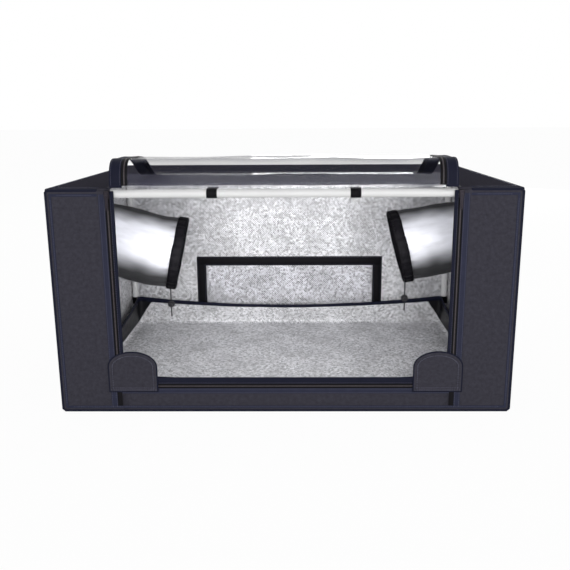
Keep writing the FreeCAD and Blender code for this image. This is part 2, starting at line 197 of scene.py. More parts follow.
class PropagatorSizes(bpy.types.PropertyGroup):
    """Sizes of the sewing and of the soft forms."""
    edge_round: length_property("Edge round", "Radius of the shell's sewn edges", 11.0)
    cloth_wall: length_property("Cloth thickness", "Thickness of the lined cloth", 1.3)
    cloth_slack: length_property("Cloth slack", "Depth of the ripples in the stretched cloth", 5.5)
    clear_wall: length_property("Clear film thickness", "Thickness of the clear film", 0.8)
    clear_wave: length_property("Clear film wave", "Depth of the waves in the loose clear film", 3.5)
    stitch_pitch: length_property("Stitch pitch", "Distance from one stitch to the next", 4.6)
    stitch_length: length_property("Stitch length", "Length of the thread that shows in one stitch", 3.3)
    stitch_width: length_property("Stitch width", "Width of the sewing thread", 0.9)
    coil_pitch: length_property("Coil pitch", "Distance from one turn of the zip coil to the next", 2.6)
    coil_width: length_property("Coil width", "Width of the closed zip coil", 3.6)
    gather_depth: length_property("Gather depth", "Depth of the gathers at the drawstring cuffs", 1.0)
    cord_diameter: length_property("Cord diameter", "Diameter of the drawcords", 3.0)


class PropagatorColours(bpy.types.PropertyGroup):
    """Colours of the finishes."""
    cloth: colour_property("Cloth", "Outer cloth of the shell", "#3a3941")
    facing: colour_property("Facing", "Stitched facings and edge seams", "#353748")
    binding: colour_property("Binding", "Bias binding on cut edges", "#1b1d2d")
    webbing: colour_property("Webbing", "Webbing and tapes", "#100f13")
    film: colour_property("Silver film", "Embossed film that lines the shell", "#f3f3f6")
    sleeve: colour_property("Sleeve", "Silver cloth of the duct socks", "#dcdde4")
    # The clear film's slant tone is its haze and a painted grazing reflection.
    clear: colour_property("Clear film", "Tone that the clear film gives at a slant", "#444660")
    milk: colour_property("Doubled film", "Tone of clear film that lies double", "#9a9ab6")
    coat: colour_property("Powder coat", "Coat on the tubes", "#e4e4e4")
    coil: colour_property("Zip coil", "Nylon coil of the zip", "#3a3236")
    metal: colour_property("Slider", "Lacquered metal of the zip sliders", "#2f2c31")
    plastic: colour_property("Plastic", "Moulded connectors and cord locks", "#1d1c20")
    # The tray's two end walls are coloured near black.
    tray_end_tone: colour_property("Tray coat", "Waterproof coat on the tray's sides", "#0c0c11")
    thread: colour_property("Thread", "Sewing thread", "#3f3f54")
    # Painted shade: the vent film is set darker than the lining film, for the shade in the vent's recess.
    vent_shade_film: colour_property("Vent film", "Duller film on the inside of the vent flap", "#e4e4ea")
    floor: colour_property("Floor", "Floor of the stage", "#f4f4f4")


def sizes():
    """The user's sizes."""
    return bpy.context.scene.propagator_sizes


def colours():
    """The user's colours."""
    return bpy.context.scene.propagator_colours


# Finishes

def wire(tree, node, inputs):
    """Sets a node's sockets, each to a value or to another node's output."""
    for name, value in inputs.items():
        if isinstance(value, bpy.types.NodeSocket):
            tree.links.new(value, node.inputs[name])
        else:
            node.inputs[name].default_value = value


def add(tree, kind, inputs, **settings):
    """Adds a node with its settings, socket values and links."""
    made = tree.nodes.new("ShaderNode" + kind)
    for name, value in settings.items():
        setattr(made, name, value)
    wire(tree, made, inputs)
    return made


def bands(millimetres):
    """Scale of a wave texture whose bands are this far apart."""
    return 2 * math.pi / (20 * millimetres * MM)


def spots(millimetres):
    """Scale of a noise or cell texture whose spots are this wide."""
    return 1 / (millimetres * MM)


def woven_oxford(tree, shader, uv):
    # Coated polyester oxford: matte and dark, crossed threads make a faint grid, the coat is a little cloudy.
    # The 0.4 mm threads are drawn 2.4 mm apart so that they show.
    base = colours().cloth
    warp, weft = (add(tree, "TexWave", {"Vector": uv, "Scale": bands(2.4), "Distortion": 0.4},
                      bands_direction=way) for way in "XY")
    weave = add(tree, "Math", {0: warp.outputs["Fac"], 1: weft.outputs["Fac"]}, operation="MULTIPLY")
    cloud = add(tree, "TexNoise", {"Vector": uv, "Scale": spots(8), "Detail": 5.0, "Roughness": 0.7})
    spread = add(tree, "MapRange", {"Value": cloud.outputs["Fac"], "From Min": 0.32, "From Max": 0.68})
    coat = add(tree, "Mix", {0: spread.outputs[0], 6: shade(base, 0.74), 7: shade(base, 1.16)},
               data_type="RGBA")
    lit = add(tree, "Math", {0: weave.outputs[0], 1: 0.6}, operation="MULTIPLY")
    tint = add(tree, "Mix", {0: lit.outputs[0], 6: coat.outputs[2], 7: shade(base, 1.5)}, data_type="RGBA")
    crease = add(tree, "TexNoise", {"Vector": uv, "Scale": spots(26), "Detail": 3.0})
    soft = add(tree, "Bump", {"Height": crease.outputs["Fac"], "Strength": 0.6, "Distance": 2.5 * MM})
    bump = add(tree, "Bump", {"Height": weave.outputs[0], "Strength": 0.4, "Distance": 0.2 * MM,
                              "Normal": soft.outputs[0]})
    rough = add(tree, "MapRange", {"Value": cloud.outputs["Fac"], "To Min": 0.62, "To Max": 0.8})
    wire(tree, shader, {"Base Color": tint.outputs[2], "Roughness": rough.outputs[0],
                        "Normal": bump.outputs[0], "Specular IOR Level": 0.0})


def twill_facing(tree, shader, uv):
    # Twill tape sewn flat as a facing: slate with a blue cast, fine diagonal ribs.
    # The 0.6 mm ribs are drawn 2 mm apart so that they show.
    base = colours().facing
    ribs = add(tree, "TexWave", {"Vector": uv, "Scale": bands(2.0), "Distortion": 0.6},
               bands_direction="DIAGONAL")
    wear = add(tree, "TexNoise", {"Vector": uv, "Scale": spots(15), "Detail": 4.0, "Roughness": 0.65})
    worn = add(tree, "Mix", {0: wear.outputs["Fac"], 6: shade(base, 0.6), 7: shade(base, 1.3)},
               data_type="RGBA")
    tint = add(tree, "Mix", {0: ribs.outputs["Fac"], 6: shade(base, 0.8), 7: worn.outputs[2]},
               data_type="RGBA")
    bump = add(tree, "Bump", {"Height": ribs.outputs["Fac"], "Strength": 0.5, "Distance": 0.25 * MM})
    wire(tree, shader, {"Base Color": tint.outputs[2], "Normal": bump.outputs[0], "Roughness": 0.66,
                        "Specular IOR Level": 0.02})


def ribbed_binding(tree, shader, uv):
    # Bias binding, ribbed polyester folded over a cut edge: blue-black with a soft gloss on each rib.
    # The 0.5 mm ribs are drawn 1.8 mm apart so that they show.
    base = colours().binding
    ribs = add(tree, "TexWave", {"Vector": uv, "Scale": bands(1.8), "Distortion": 0.8},
               bands_direction="DIAGONAL")
    wear = add(tree, "TexNoise", {"Vector": uv, "Scale": spots(12), "Detail": 3.0})
    rubbed = add(tree, "Mix", {0: wear.outputs["Fac"], 6: shade(base, 0.8), 7: shade(base, 1.35)},
                 data_type="RGBA")
    tint = add(tree, "Mix", {0: ribs.outputs["Fac"], 6: shade(base, 0.7), 7: rubbed.outputs[2]},
               data_type="RGBA")
    bump = add(tree, "Bump", {"Height": ribs.outputs["Fac"], "Strength": 0.6, "Distance": 0.25 * MM})
    wire(tree, shader, {"Base Color": tint.outputs[2], "Normal": bump.outputs[0], "Roughness": 0.58,
                        "Specular IOR Level": 0.07})


def polypropylene_webbing(tree, shader, uv):
    # Woven polypropylene webbing: black, coarse cross ribs, a faint waxy shine.
    base = colours().webbing
    across = add(tree, "TexWave", {"Vector": uv, "Scale": bands(2.0)}, bands_direction="X")
    along = add(tree, "TexWave", {"Vector": uv, "Scale": bands(3.0)}, bands_direction="Y")
    weave = add(tree, "Math", {0: across.outputs["Fac"], 1: along.outputs["Fac"]}, operation="MAXIMUM")
    fluff = add(tree, "TexNoise", {"Vector": uv, "Scale": spots(6), "Detail": 3.0})
    worn = add(tree, "Mix", {0: fluff.outputs["Fac"], 6: shade(base, 0.7), 7: shade(base, 1.6)},
               data_type="RGBA")
    tint = add(tree, "Mix", {0: weave.outputs[0], 6: shade(base, 0.6), 7: worn.outputs[2]}, data_type="RGBA")
    bump = add(tree, "Bump", {"Height": weave.outputs[0], "Strength": 0.6, "Distance": 0.3 * MM})
    wire(tree, shader, {"Base Color": tint.outputs[2], "Normal": bump.outputs[0], "Roughness": 0.55,
                        "Specular IOR Level": 0.08})


def film(tree, shader, uv, base, dark):
    """Metallised film embossed with diamonds: the 3 mm diamonds are drawn 4.4 mm apart so that they show."""
    turned = add(tree, "Mapping", {"Vector": uv, "Rotation": (0.0, 0.0, math.radians(45))}).outputs["Vector"]
    rise, fall = (add(tree, "TexWave", {"Vector": turned, "Scale": bands(4.4), "Distortion": 2.0},
                      bands_direction=way) for way in "XY")
    diamond = add(tree, "Math", {0: rise.outputs["Fac"], 1: fall.outputs["Fac"]}, operation="MULTIPLY")
    facet = add(tree, "TexVoronoi", {"Vector": turned, "Scale": spots(4.4), "Randomness": 0.8})
    mirror = add(tree, "Math", {0: diamond.outputs[0], 1: facet.outputs["Color"]}, operation="ADD")
    bright = add(tree, "MapRange", {"Value": mirror.outputs[0], "From Min": 0.2, "From Max": 0.95})
    crinkle = add(tree, "TexNoise", {"Vector": uv, "Scale": spots(38), "Detail": 3.0})
    cloud = add(tree, "TexNoise", {"Vector": uv, "Scale": spots(85), "Detail": 3.0})
    pale = add(tree, "MapRange", {"Value": cloud.outputs["Fac"], "From Min": 0.34, "From Max": 0.56})
    dull = add(tree, "Mix", {0: pale.outputs[0], 6: shade(base, 0.8), 7: shade(base, 1.05)}, data_type="RGBA")
    tint = add(tree, "Mix", {0: bright.outputs[0], 6: shade(base, dark), 7: dull.outputs[2]},
               data_type="RGBA")
    soft = add(tree, "Bump", {"Height": crinkle.outputs["Fac"], "Strength": 0.6, "Distance": 2.0 * MM})
    bump = add(tree, "Bump", {"Height": diamond.outputs[0], "Strength": 0.7, "Distance": 0.7 * MM,
                              "Normal": soft.outputs[0]})
    rough = add(tree, "MapRange", {"Value": crinkle.outputs["Fac"], "To Min": 0.3, "To Max": 0.46})
    wire(tree, shader, {"Base Color": tint.outputs[2], "Roughness": rough.outputs[0],
                        "Normal": bump.outputs[0], "Metallic": 0.22})


def embossed_film(tree, shader, uv):
    # Metallised polyester film, embossed with diamonds: silver, each facet a little lighter or darker.
    film(tree, shader, uv, colours().film, 0.22)


def recess_shaded_film(tree, shader, uv):
    # The same film on the loose vent flap, painted darker and with darker facets: painted shade of its recess
    # in the vent.
    film(tree, shader, uv, colours().vent_shade_film, 0.14)


def silvered_sleeve_cloth(tree, shader, uv):
    # Thin silver-coated cloth: a soft metal sheen and fine crinkles, with painted highlight streaks and
    # painted shade.
    base = colours().sleeve
    crinkle = add(tree, "TexNoise", {"Vector": uv, "Scale": spots(14), "Detail": 4.0, "Roughness": 0.55})
    # Painted highlight: soft slanting streaks of lighter colour, as light caught on the silver; the same
    # noise sets the roughness.
    slant = add(tree, "Mapping", {"Vector": uv, "Rotation": (0.0, 0.0, math.radians(35)),
                                  "Scale": (spots(34), spots(95), 1.0)})
    streak_noise = add(tree, "TexNoise", {"Vector": slant.outputs["Vector"], "Scale": 1.0, "Detail": 3.0})
    highlight_streaks = add(tree, "MapRange", {"Value": streak_noise.outputs["Fac"], "From Min": 0.36, "From Max": 0.58})
    streaked_highlight = add(tree, "Mix", {0: highlight_streaks.outputs[0], 6: shade(base, 0.76), 7: shade(base, 1.02)},
                data_type="RGBA")
    # Painted shade: the colour darkens to near black along the sock's top and bottom, for dark surroundings
    # it would mirror.
    top_bottom_shade_wave = add(tree, "TexWave", {"Vector": uv, "Scale": bands(math.pi * SOCK_MOUTH / MM), "Distortion": 0.6,
                                   "Detail Scale": 9.0, "Phase Offset": -0.8}, bands_direction="X")
    unshaded_middle = add(tree, "MapRange", {"Value": top_bottom_shade_wave.outputs["Fac"], "From Min": 0.3, "From Max": 0.9})
    tint = add(tree, "Mix", {0: unshaded_middle.outputs[0], 6: shade(base, 0.05), 7: streaked_highlight.outputs[2]}, data_type="RGBA")
    bump = add(tree, "Bump", {"Height": crinkle.outputs["Fac"], "Strength": 0.45, "Distance": 0.9 * MM})
    rough = add(tree, "MapRange", {"Value": streak_noise.outputs["Fac"], "To Min": 0.5, "To Max": 0.66})
    wire(tree, shader, {"Base Color": tint.outputs[2], "Roughness": rough.outputs[0],
                        "Normal": bump.outputs[0], "Metallic": 0.2})


def vinyl(tree, shader, uv, base, facing, slant):
    """Clear vinyl that covers a share of what's behind it, facing the eye and at a slant: more at a slant,
    for its haze and as a painted grazing reflection.
    """
    haze = add(tree, "TexNoise", {"Vector": uv, "Scale": spots(70), "Detail": 2.0})
    tint = add(tree, "Mix", {0: haze.outputs["Fac"], 6: shade(base, 0.85), 7: shade(base, 1.1)},
               data_type="RGBA")
    edge = add(tree, "LayerWeight", {"Blend": 0.5})
    alpha = add(tree, "MapRange", {"Value": edge.outputs["Facing"], "From Min": 0.3,
                                   "To Min": facing, "To Max": slant})
    bump = add(tree, "Bump", {"Height": haze.outputs["Fac"], "Strength": 0.5, "Distance": 2.5 * MM})
    wire(tree, shader, {"Base Color": tint.outputs[2], "Alpha": alpha.outputs[0], "Normal": bump.outputs[0],
                        "Roughness": 0.06, "IOR": 1.53, "Specular IOR Level": 0.8})


def clear_vinyl(tree, shader, uv):
    # Calendered clear vinyl, loose: see-through and glossy, greyer at a slant from its haze and a painted
    # grazing reflection.
    vinyl(tree, shader, uv, colours().clear, 0.02, 0.36)


def taut_vinyl(tree, shader, uv):
    # Calendered clear vinyl, sewn in tight: clear at any slant but for a little milky haze.
    vinyl(tree, shader, uv, colours().milk, 0.02, 0.1)


def welded_vinyl(tree, shader, uv):
    # Clear vinyl folded double and welded: a milky lavender strip.
    vinyl(tree, shader, uv, colours().milk, 0.05, 0.1)


def powder_coat(tree, shader, place):
    # White powder coat on steel tube: warm white, satin, with the faint orange peel of the baked powder.
    # The 0.8 mm peel is drawn at 2 mm so that it shows.
    base = colours().coat
    peel = add(tree, "TexNoise", {"Vector": place, "Scale": spots(2), "Detail": 2.0})
    scuff = add(tree, "TexNoise", {"Vector": place, "Scale": spots(40), "Detail": 4.0})
    tint = add(tree, "Mix", {0: scuff.outputs["Fac"], 6: shade(base, 0.93), 7: shade(base, 1.03)},
               data_type="RGBA")
    bump = add(tree, "Bump", {"Height": peel.outputs["Fac"], "Strength": 0.2, "Distance": 0.1 * MM})
    rough = add(tree, "MapRange", {"Value": scuff.outputs["Fac"], "To Min": 0.3, "To Max": 0.42})
    wire(tree, shader, {"Base Color": tint.outputs[2], "Roughness": rough.outputs[0],
                        "Normal": bump.outputs[0]})


def nylon_coil(tree, shader, place):
    # Coiled nylon monofilament: brown-grey and slightly glassy.
    base = colours().coil
    age = add(tree, "TexNoise", {"Vector": place, "Scale": spots(9), "Detail": 2.0})
    tint = add(tree, "Mix", {0: age.outputs["Fac"], 6: shade(base, 0.7), 7: shade(base, 1.3)},
               data_type="RGBA")
    wire(tree, shader, {"Base Color": tint.outputs[2], "Roughness": 0.38, "IOR": 1.53})


def lacquered_zinc(tree, shader, place):
    # Die-cast zinc under grey lacquer: metallic, with duller streaks where fingers pull.
    base = colours().metal
    wear = add(tree, "TexNoise", {"Vector": place, "Scale": spots(5), "Detail": 4.0})
    tint = add(tree, "Mix", {0: wear.outputs["Fac"], 6: shade(base, 0.7), 7: shade(base, 1.2)},
               data_type="RGBA")
    rough = add(tree, "MapRange", {"Value": wear.outputs["Fac"], "To Min": 0.25, "To Max": 0.5})
    wire(tree, shader, {"Base Color": tint.outputs[2], "Roughness": rough.outputs[0], "Metallic": 1.0})


def braided_cord(tree, shader, place):
    # Braided polyester cord: black strands crossing at a slant.
    # The 0.6 mm strands are drawn 1.4 mm apart so that they show.
    base = colours().webbing
    strands = add(tree, "TexWave", {"Vector": place, "Scale": bands(1.4), "Distortion": 1.5},
                  bands_direction="DIAGONAL")
    tint = add(tree, "Mix", {0: strands.outputs["Fac"], 6: shade(base, 0.6), 7: shade(base, 2.2)},
               data_type="RGBA")
    bump = add(tree, "Bump", {"Height": strands.outputs["Fac"], "Strength": 0.7, "Distance": 0.3 * MM})
    wire(tree, shader, {"Base Color": tint.outputs[2], "Normal": bump.outputs[0], "Roughness": 0.6})


def moulded_nylon(tree, shader, place):
    # Injection-moulded nylon: near black, satin, with the fine spark grain of its mould.
    # The 0.2 mm grain is drawn at 0.8 mm so that it shows.
    base = colours().plastic
    grain = add(tree, "TexNoise", {"Vector": place, "Scale": spots(0.8), "Detail": 2.0})
    flow = add(tree, "TexNoise", {"Vector": place, "Scale": spots(12), "Detail": 2.0})
    tint = add(tree, "Mix", {0: flow.outputs["Fac"], 6: shade(base, 0.8), 7: shade(base, 1.4)},
               data_type="RGBA")
    bump = add(tree, "Bump", {"Height": grain.outputs["Fac"], "Strength": 0.3, "Distance": 0.1 * MM})
    wire(tree, shader, {"Base Color": tint.outputs[2], "Normal": bump.outputs[0], "Roughness": 0.42})


def near_black_tray_ends(tree, shader, uv):
    # Near black and smooth on the tray's two end walls, glossier along its creases.
    base = colours().tray_end_tone
    crease = add(tree, "TexNoise", {"Vector": uv, "Scale": spots(12), "Detail": 4.0, "Roughness": 0.6})
    tint = add(tree, "Mix", {0: crease.outputs["Fac"], 6: shade(base, 0.6), 7: shade(base, 1.4)},
               data_type="RGBA")
    bump = add(tree, "Bump", {"Height": crease.outputs["Fac"], "Strength": 0.5, "Distance": 1.2 * MM})
    rough = add(tree, "MapRange", {"Value": crease.outputs["Fac"], "To Min": 0.34, "To Max": 0.56})
    wire(tree, shader, {"Base Color": tint.outputs[2], "Roughness": rough.outputs[0],
                        "Normal": bump.outputs[0], "Specular IOR Level": 0.25})


def sewing_thread(tree, shader, place):
    # Bonded polyester thread: two-ply twist, slate grey-blue with a small highlight.
    base = colours().thread
    twist = add(tree, "TexWave", {"Vector": place, "Scale": bands(0.9)}, bands_direction="DIAGONAL")
    tint = add(tree, "Mix", {0: twist.outputs["Fac"], 6: shade(base, 0.7), 7: shade(base, 1.3)},
               data_type="RGBA")
    wire(tree, shader, {"Base Color": tint.outputs[2], "Roughness": 0.5, "Sheen Weight": 0.2})


def seen_rays(tree):
    """Share of rays that show a thing to the eye: straight, mirrored or let through."""
    path = add(tree, "LightPath", {})
    plain = add(tree, "Math", {0: path.outputs["Is Camera Ray"], 1: path.outputs["Is Glossy Ray"]},
                operation="MAXIMUM")
    seen = add(tree, "Math", {0: plain.outputs[0], 1: path.outputs["Is Transmission Ray"]},
               operation="MAXIMUM")
    return seen.outputs[0]


# Finishes of solid pieces, which lie in the piece's own coordinates; the others lie in its cloth coordinates
SOLIDS = (powder_coat, nylon_coil, lacquered_zinc, braided_cord, moulded_nylon, sewing_thread)


def finish(maker):
    """The material that a maker function gives, made once."""
    found = bpy.data.materials.get(maker.__name__)
    if found:
        return found
    made = bpy.data.materials.new(maker.__name__)
    made.use_nodes = True
    tree = made.node_tree
    if maker in SOLIDS:
        place = add(tree, "TexCoord", {}).outputs["Object"]
    else:
        place = add(tree, "UVMap", {}, uv_map="cloth").outputs["UV"]
    maker(tree, tree.nodes["Principled BSDF"], place)
    return made


# Mesh helpers

def merge(bm, part, index=0):
    """Adds a part to a mesh with one finish, and frees it."""
    for face in part.faces:
        face.material_index = index
    store = bpy.data.meshes.new("part")
    part.to_mesh(store)
    part.free()
    bm.from_mesh(store)
    bpy.data.meshes.remove(store)


def cut_plane(bm, place, normal):
    """Cuts a mesh along one plane."""
    bmesh.ops.bisect_plane(bm, geom=bm.verts[:] + bm.edges[:] + bm.faces[:], dist=1e-6,
                           plane_co=place, plane_no=normal)


def cut(bm, axis, places):
    """Cuts a mesh across one axis at each place."""
    normal = Vector((axis == 0, axis == 1, axis == 2))
    for place in places:
        cut_plane(bm, normal * place, normal)


def soften(bm, edges, radius, segments):
    """Rounds edges of a mesh."""
    bmesh.ops.bevel(bm, geom=edges, offset=radius, segments=segments, profile=0.5, affect="EDGES",
                    material=-1)


def net(low, high, step):
    """Even places between two ends, the ends left out."""
    count = max(1, round((high - low) / step))
    return [low + (high - low) * i / count for i in range(1, count)]


def lay_cloth(bm):
    """Gives every face cloth coordinates in metres on the plane that it faces."""
    layer = bm.loops.layers.uv.verify() if bm.loops.layers.uv else bm.loops.layers.uv.new("cloth")
    bm.normal_update()
    for face in bm.faces:
        flat = sorted(range(3), key=lambda i: abs(face.normal[i]))[:2]
        for loop in face.loops:
            loop[layer].uv = [loop.vert.co[i] for i in sorted(flat)]


def box_between(a, b):
    """New mesh of a box between two corners."""
    low, high = Vector(map(min, a, b)), Vector(map(max, a, b))
    bm = bmesh.new()
    bmesh.ops.create_cube(bm, size=1.0)
    bmesh.ops.scale(bm, vec=high - low, verts=bm.verts[:])
    bmesh.ops.translate(bm, vec=(high + low) / 2, verts=bm.verts[:])
    return bm


def tape(bm, a, b, index=0, soft=0.3 * MM, step=40 * MM):
    """Adds a flat tape between two corners, its edges softened, cut so that it can bend."""
    part = box_between(a, b)
    soften(part, part.edges[:], soft, 2)
    for axis in range(3):
        low, high = sorted((a[axis], b[axis]))
        if high - low > step:
            cut(part, axis, net(low, high, step))
    lay_cloth(part)
    merge(bm, part, index)


def beads(bm, points, out, pitch, shape, index, sway=0.0):
    """Adds small rounded bars along a line of points: stitches, or the turns of a zip coil."""
    for a, b in zip(points, points[1:]):
        along = (b - a).normalized()
        count = max(1, round((b - a).length / pitch))
        for i in range(count):
            turn = Matrix.Rotation(sway if i % 2 else -sway, 3, out) @ along
            axes = Matrix((turn, out.cross(turn), out)).transposed().to_4x4()
            place = Matrix.Translation(a.lerp(b, (i + 0.5) / count)) @ axes
            place = place @ Matrix.Diagonal((shape[0] / 2, shape[1] / 2, shape[2] / 2, 1.0))
            ball = bmesh.ops.create_icosphere(bm, subdivisions=1, radius=1.0, matrix=place)
            for face in {face for vert in ball["verts"] for face in vert.link_faces}:
                face.material_index = index


def stitch(bm, points, out, index):
    """Adds a row of stitches."""
    size = sizes()
    shape = (size.stitch_length, size.stitch_width, size.stitch_width * 0.7)
    beads(bm, [Vector(p) for p in points], Vector(out), size.stitch_pitch, shape, index)


def coil(bm, a, b, out, index):
    """Adds a run of closed zip coil."""
    size = sizes()
    shape = (size.coil_pitch * 0.85, size.coil_width, size.coil_width * 0.4)
    beads(bm, [Vector(a), Vector(b)], Vector(out), size.coil_pitch, shape, index, sway=math.radians(16))


def hoop(centre, axis, radius, radial, axial, steps):
    """New mesh of a flat band bent into a ring, its section a soft rectangle."""
    bm = bmesh.new()
    bmesh.ops.create_circle(bm, segments=16, radius=1.0)
    for vert in bm.verts:
        x, y = (math.copysign(math.sqrt(abs(c)), c) for c in vert.co.xy)
        vert.co = (radius + x * radial / 2, 0.0, y * axial / 2)
    bmesh.ops.spin(bm, geom=bm.verts[:] + bm.edges[:], cent=(0, 0, 0), axis=(0, 0, 1), angle=2 * math.pi,
                   steps=steps, use_merge=True)
    bmesh.ops.recalc_face_normals(bm, faces=bm.faces[:])
    layer = bm.loops.layers.uv.new("cloth")
    for face in bm.faces:
        middle = face.calc_center_median()
        for loop in face.loops:
            co = loop.vert.co
            turn = math.atan2(middle.y, middle.x) + middle.xy.angle_signed(co.xy) * -1.0
            loop[layer].uv = (turn * radius, co.z + co.xy.length - radius)
    tilt = Vector((0, 0, 1)).rotation_difference(Vector(axis)).to_matrix().to_4x4()
    bm.transform(Matrix.Translation(centre) @ tilt)
    return bm


def sleeve(around, along, width, length):
    """New flat sheet of cloth coordinates, ready to be rolled: x and y run from 0 to 1."""
    bm = bmesh.new()
    bmesh.ops.create_grid(bm, x_segments=around, y_segments=along, size=0.5)
    bmesh.ops.translate(bm, vec=(0.5, 0.5, 0.0), verts=bm.verts[:])
    layer = bm.loops.layers.uv.new("cloth")
    for face in bm.faces:
        for loop in face.loops:
            loop[layer].uv = (loop.vert.co.x * width, loop.vert.co.y * length)
    return bm


def face_out(bm, axis, sign):
    """Turns an open sheet's faces to one side."""
    bmesh.ops.recalc_face_normals(bm, faces=bm.faces[:])
    bm.normal_update()
    if sum(face.normal[axis] * face.calc_area() for face in bm.faces) * sign < 0:
        bmesh.ops.reverse_faces(bm, faces=bm.faces[:])


def face_away(bm, centre):
    """Turns an open sheet's faces away from a point."""
    bmesh.ops.recalc_face_normals(bm, faces=bm.faces[:])
    bm.normal_update()
    if sum((face.calc_center_median() - centre).dot(face.normal) for face in bm.faces) < 0:
        bmesh.ops.reverse_faces(bm, faces=bm.faces[:])


def make(name, bm, finishes, body=None, stands_for=(), wall=0.0, lining=0):
    """Makes a piece of a mesh: its finishes, its body, the nodes it stands for and the wall of a sheet."""
    mesh = bpy.data.meshes.new(name)
    for face in bm.faces:
        face.smooth = True
    bm.to_mesh(mesh)
    bm.free()
    mesh.set_sharp_from_angle(angle=CREASE)
    for maker in finishes:
        mesh.materials.append(finish(maker))
    piece = bpy.data.objects.new(name, mesh)
    bpy.context.scene.collection.objects.link(piece)
    if wall:
        solid = piece.modifiers.new("wall", "SOLIDIFY")
        solid.thickness = wall
        solid.offset = -1.0
        solid.use_even_offset = True
        solid.material_offset = lining
    if body:
        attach(piece, body)
    if stands_for:
        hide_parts(*stands_for)
    return piece


# Shell

def facing(face):
    """Axis and side that a face looks to most."""
    axis = max(range(3), key=lambda i: abs(face.normal[i]))
    return axis, math.copysign(1.0, face.normal[axis])


def shell_skin():
    """Rounded box of the whole shell, cut into a net that its panels are taken from."""
    bm = box_between(SHELL_LOW, SHELL_HIGH)
    soften(bm, bm.edges[:], sizes().edge_round, 4)
    for axis in range(3):
        cut(bm, axis, net(SHELL_LOW[axis], SHELL_HIGH[axis], SHELL_NET))
    cut(bm, 0, (-OPENING_X, OPENING_X))
    cut(bm, 1, (WINDOW_BACK,))
    cut(bm, 2, (SILL_TOP,))
    bm.normal_update()
    return bm


def panel(skin, keep):
    """Copy of the skin with only the faces that pass a test."""
    bm = skin.copy()
    bmesh.ops.delete(bm, geom=[face for face in bm.faces if not keep(face)], context="FACES")
    lay_cloth(bm)
    return bm


def slacken(bm, axis, sign, held=(), depth=None):
    """Lets a panel sink inwards between its sewn edges, in slow ripples, and not near the held spots."""
    depth = depth or sizes().cloth_slack
    across = [i for i in range(3) if i != axis]
    low = [min(vert.co[i] for vert in bm.verts) for i in range(3)]
    high = [max(vert.co[i] for vert in bm.verts) for i in range(3)]
    for vert in bm.verts:
        inset = min(min(vert.co[i] - low[i], high[i] - vert.co[i]) for i in across)
        hold = ease((inset - SEWN_EDGE) / SLACK_RAMP)
        for near, far in held:
            away = max(max(near[i] - vert.co[i], vert.co[i] - far[i]) for i in across)
            hold *= ease(away / SLACK_RAMP)
        ripple = 0.5 + 0.4 * noise.noise(vert.co * 7.0) + 0.3 * noise.noise(vert.co * 19.0)
        vert.co[axis] -= sign * depth * hold * max(ripple, 0.0)


def round_hole(bm, centre, radius, half):
    """Opens a round hole in a side panel, joined to the net round it."""
    gone = [face for face in bm.faces
            if all(abs((face.calc_center_median() - centre)[i]) < half for i in (1, 2))]
    spare = {vert for face in gone for vert in face.verts}
    bmesh.ops.delete(bm, geom=gone, context="FACES")
    rim = [edge for edge in bm.edges if edge.is_boundary and all(vert in spare for vert in edge.verts)]
    grown = bmesh.ops.extrude_edge_only(bm, edges=rim)["geom"]
    for vert in grown:
        if isinstance(vert, bmesh.types.BMVert):
            vert.co = centre + (vert.co - centre).normalized() * radius
    lay_cloth(bm)


class PROPAGATOR_OT_frame(bpy.types.Operator):
    """Gives the tubes, connectors, sliders and cord locks their finishes"""
    bl_idname = "propagator.frame"
    bl_label = "Finish the frame"

    def execute(self, context):
        for name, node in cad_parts.items():
            if name.startswith(("post_", "rail_")):
                maker = powder_coat
            elif name.startswith("zip_slider"):
                maker = lacquered_zinc
            else:
                maker = moulded_nylon
            node.data.materials.clear()
            node.data.materials.append(finish(maker))
        return {"FINISHED"}


class PROPAGATOR_OT_shell(bpy.types.Operator):
    """Makes the lined cloth panels of the shell"""
    bl_idname = "propagator.shell"
    bl_label = "Make the shell"

    def execute(self, context):
        skin = shell_skin()
        cloth = (woven_oxford, embossed_film)
        size = SHELL_HIGH - SHELL_LOW
        wall = sizes().cloth_wall

        def sew(name, node, axis, sign, keep, flat, held=(), hole=None):
            bm = panel(skin, lambda face: facing(face) == (axis, sign) and keep(face.calc_center_median()))
            if hole:
                round_hole(bm, *hole)
            face_out(bm, axis, sign)
            slacken(bm, axis, sign, held)
            piece = make(name, bm, cloth, "shell", (node,), wall=wall, lining=1)

        for side, sx in SIDES.items():
            port = Vector((sx * SHELL_HIGH.x, 0.0, PORT_Z))
            sew(f"{side}_wall_cloth", f"{side}_wall", 0, sx, lambda co: True, (size.y, size.z),
                held=(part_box(f"port_ring_{side}"),), hole=(port, PORT_RADIUS, PORT_NET))
            sew(f"front_{side}_cloth", f"front_{side}_strip", 1, -1.0, lambda co: co.x * sx > OPENING_X,
                (SHELL_HIGH.x - OPENING_X, size.z))
        sew("sill_cloth", "front_sill", 1, -1.0, lambda co: abs(co.x) < OPENING_X and co.z < SILL_TOP,
            (2 * OPENING_X, SILL_TOP))
        low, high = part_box("vent_tape_frame")
        cut(skin, 0, (low.x + VENT_TAPE, high.x - VENT_TAPE))
        cut(skin, 2, (low.z + VENT_TAPE, high.z - VENT_TAPE))
        skin.normal_update()

        def beside_vent(co):
            return abs(co.x) > high.x - VENT_TAPE or not low.z + VENT_TAPE < co.z < high.z - VENT_TAPE

        sew("back_cloth", "back_wall", 1, 1.0, beside_vent, (size.x, size.z), held=((low, high),))
        sew("roof_cloth", "roof_panel", 2, 1.0, lambda co: abs(co.x) > OPENING_X or co.y > WINDOW_BACK,
            (size.x, size.y))
        sew("floor_cloth", "floor_panel", 2, -1.0, lambda co: True, (size.x, size.y))
        skin.free()
        return {"FINISHED"}


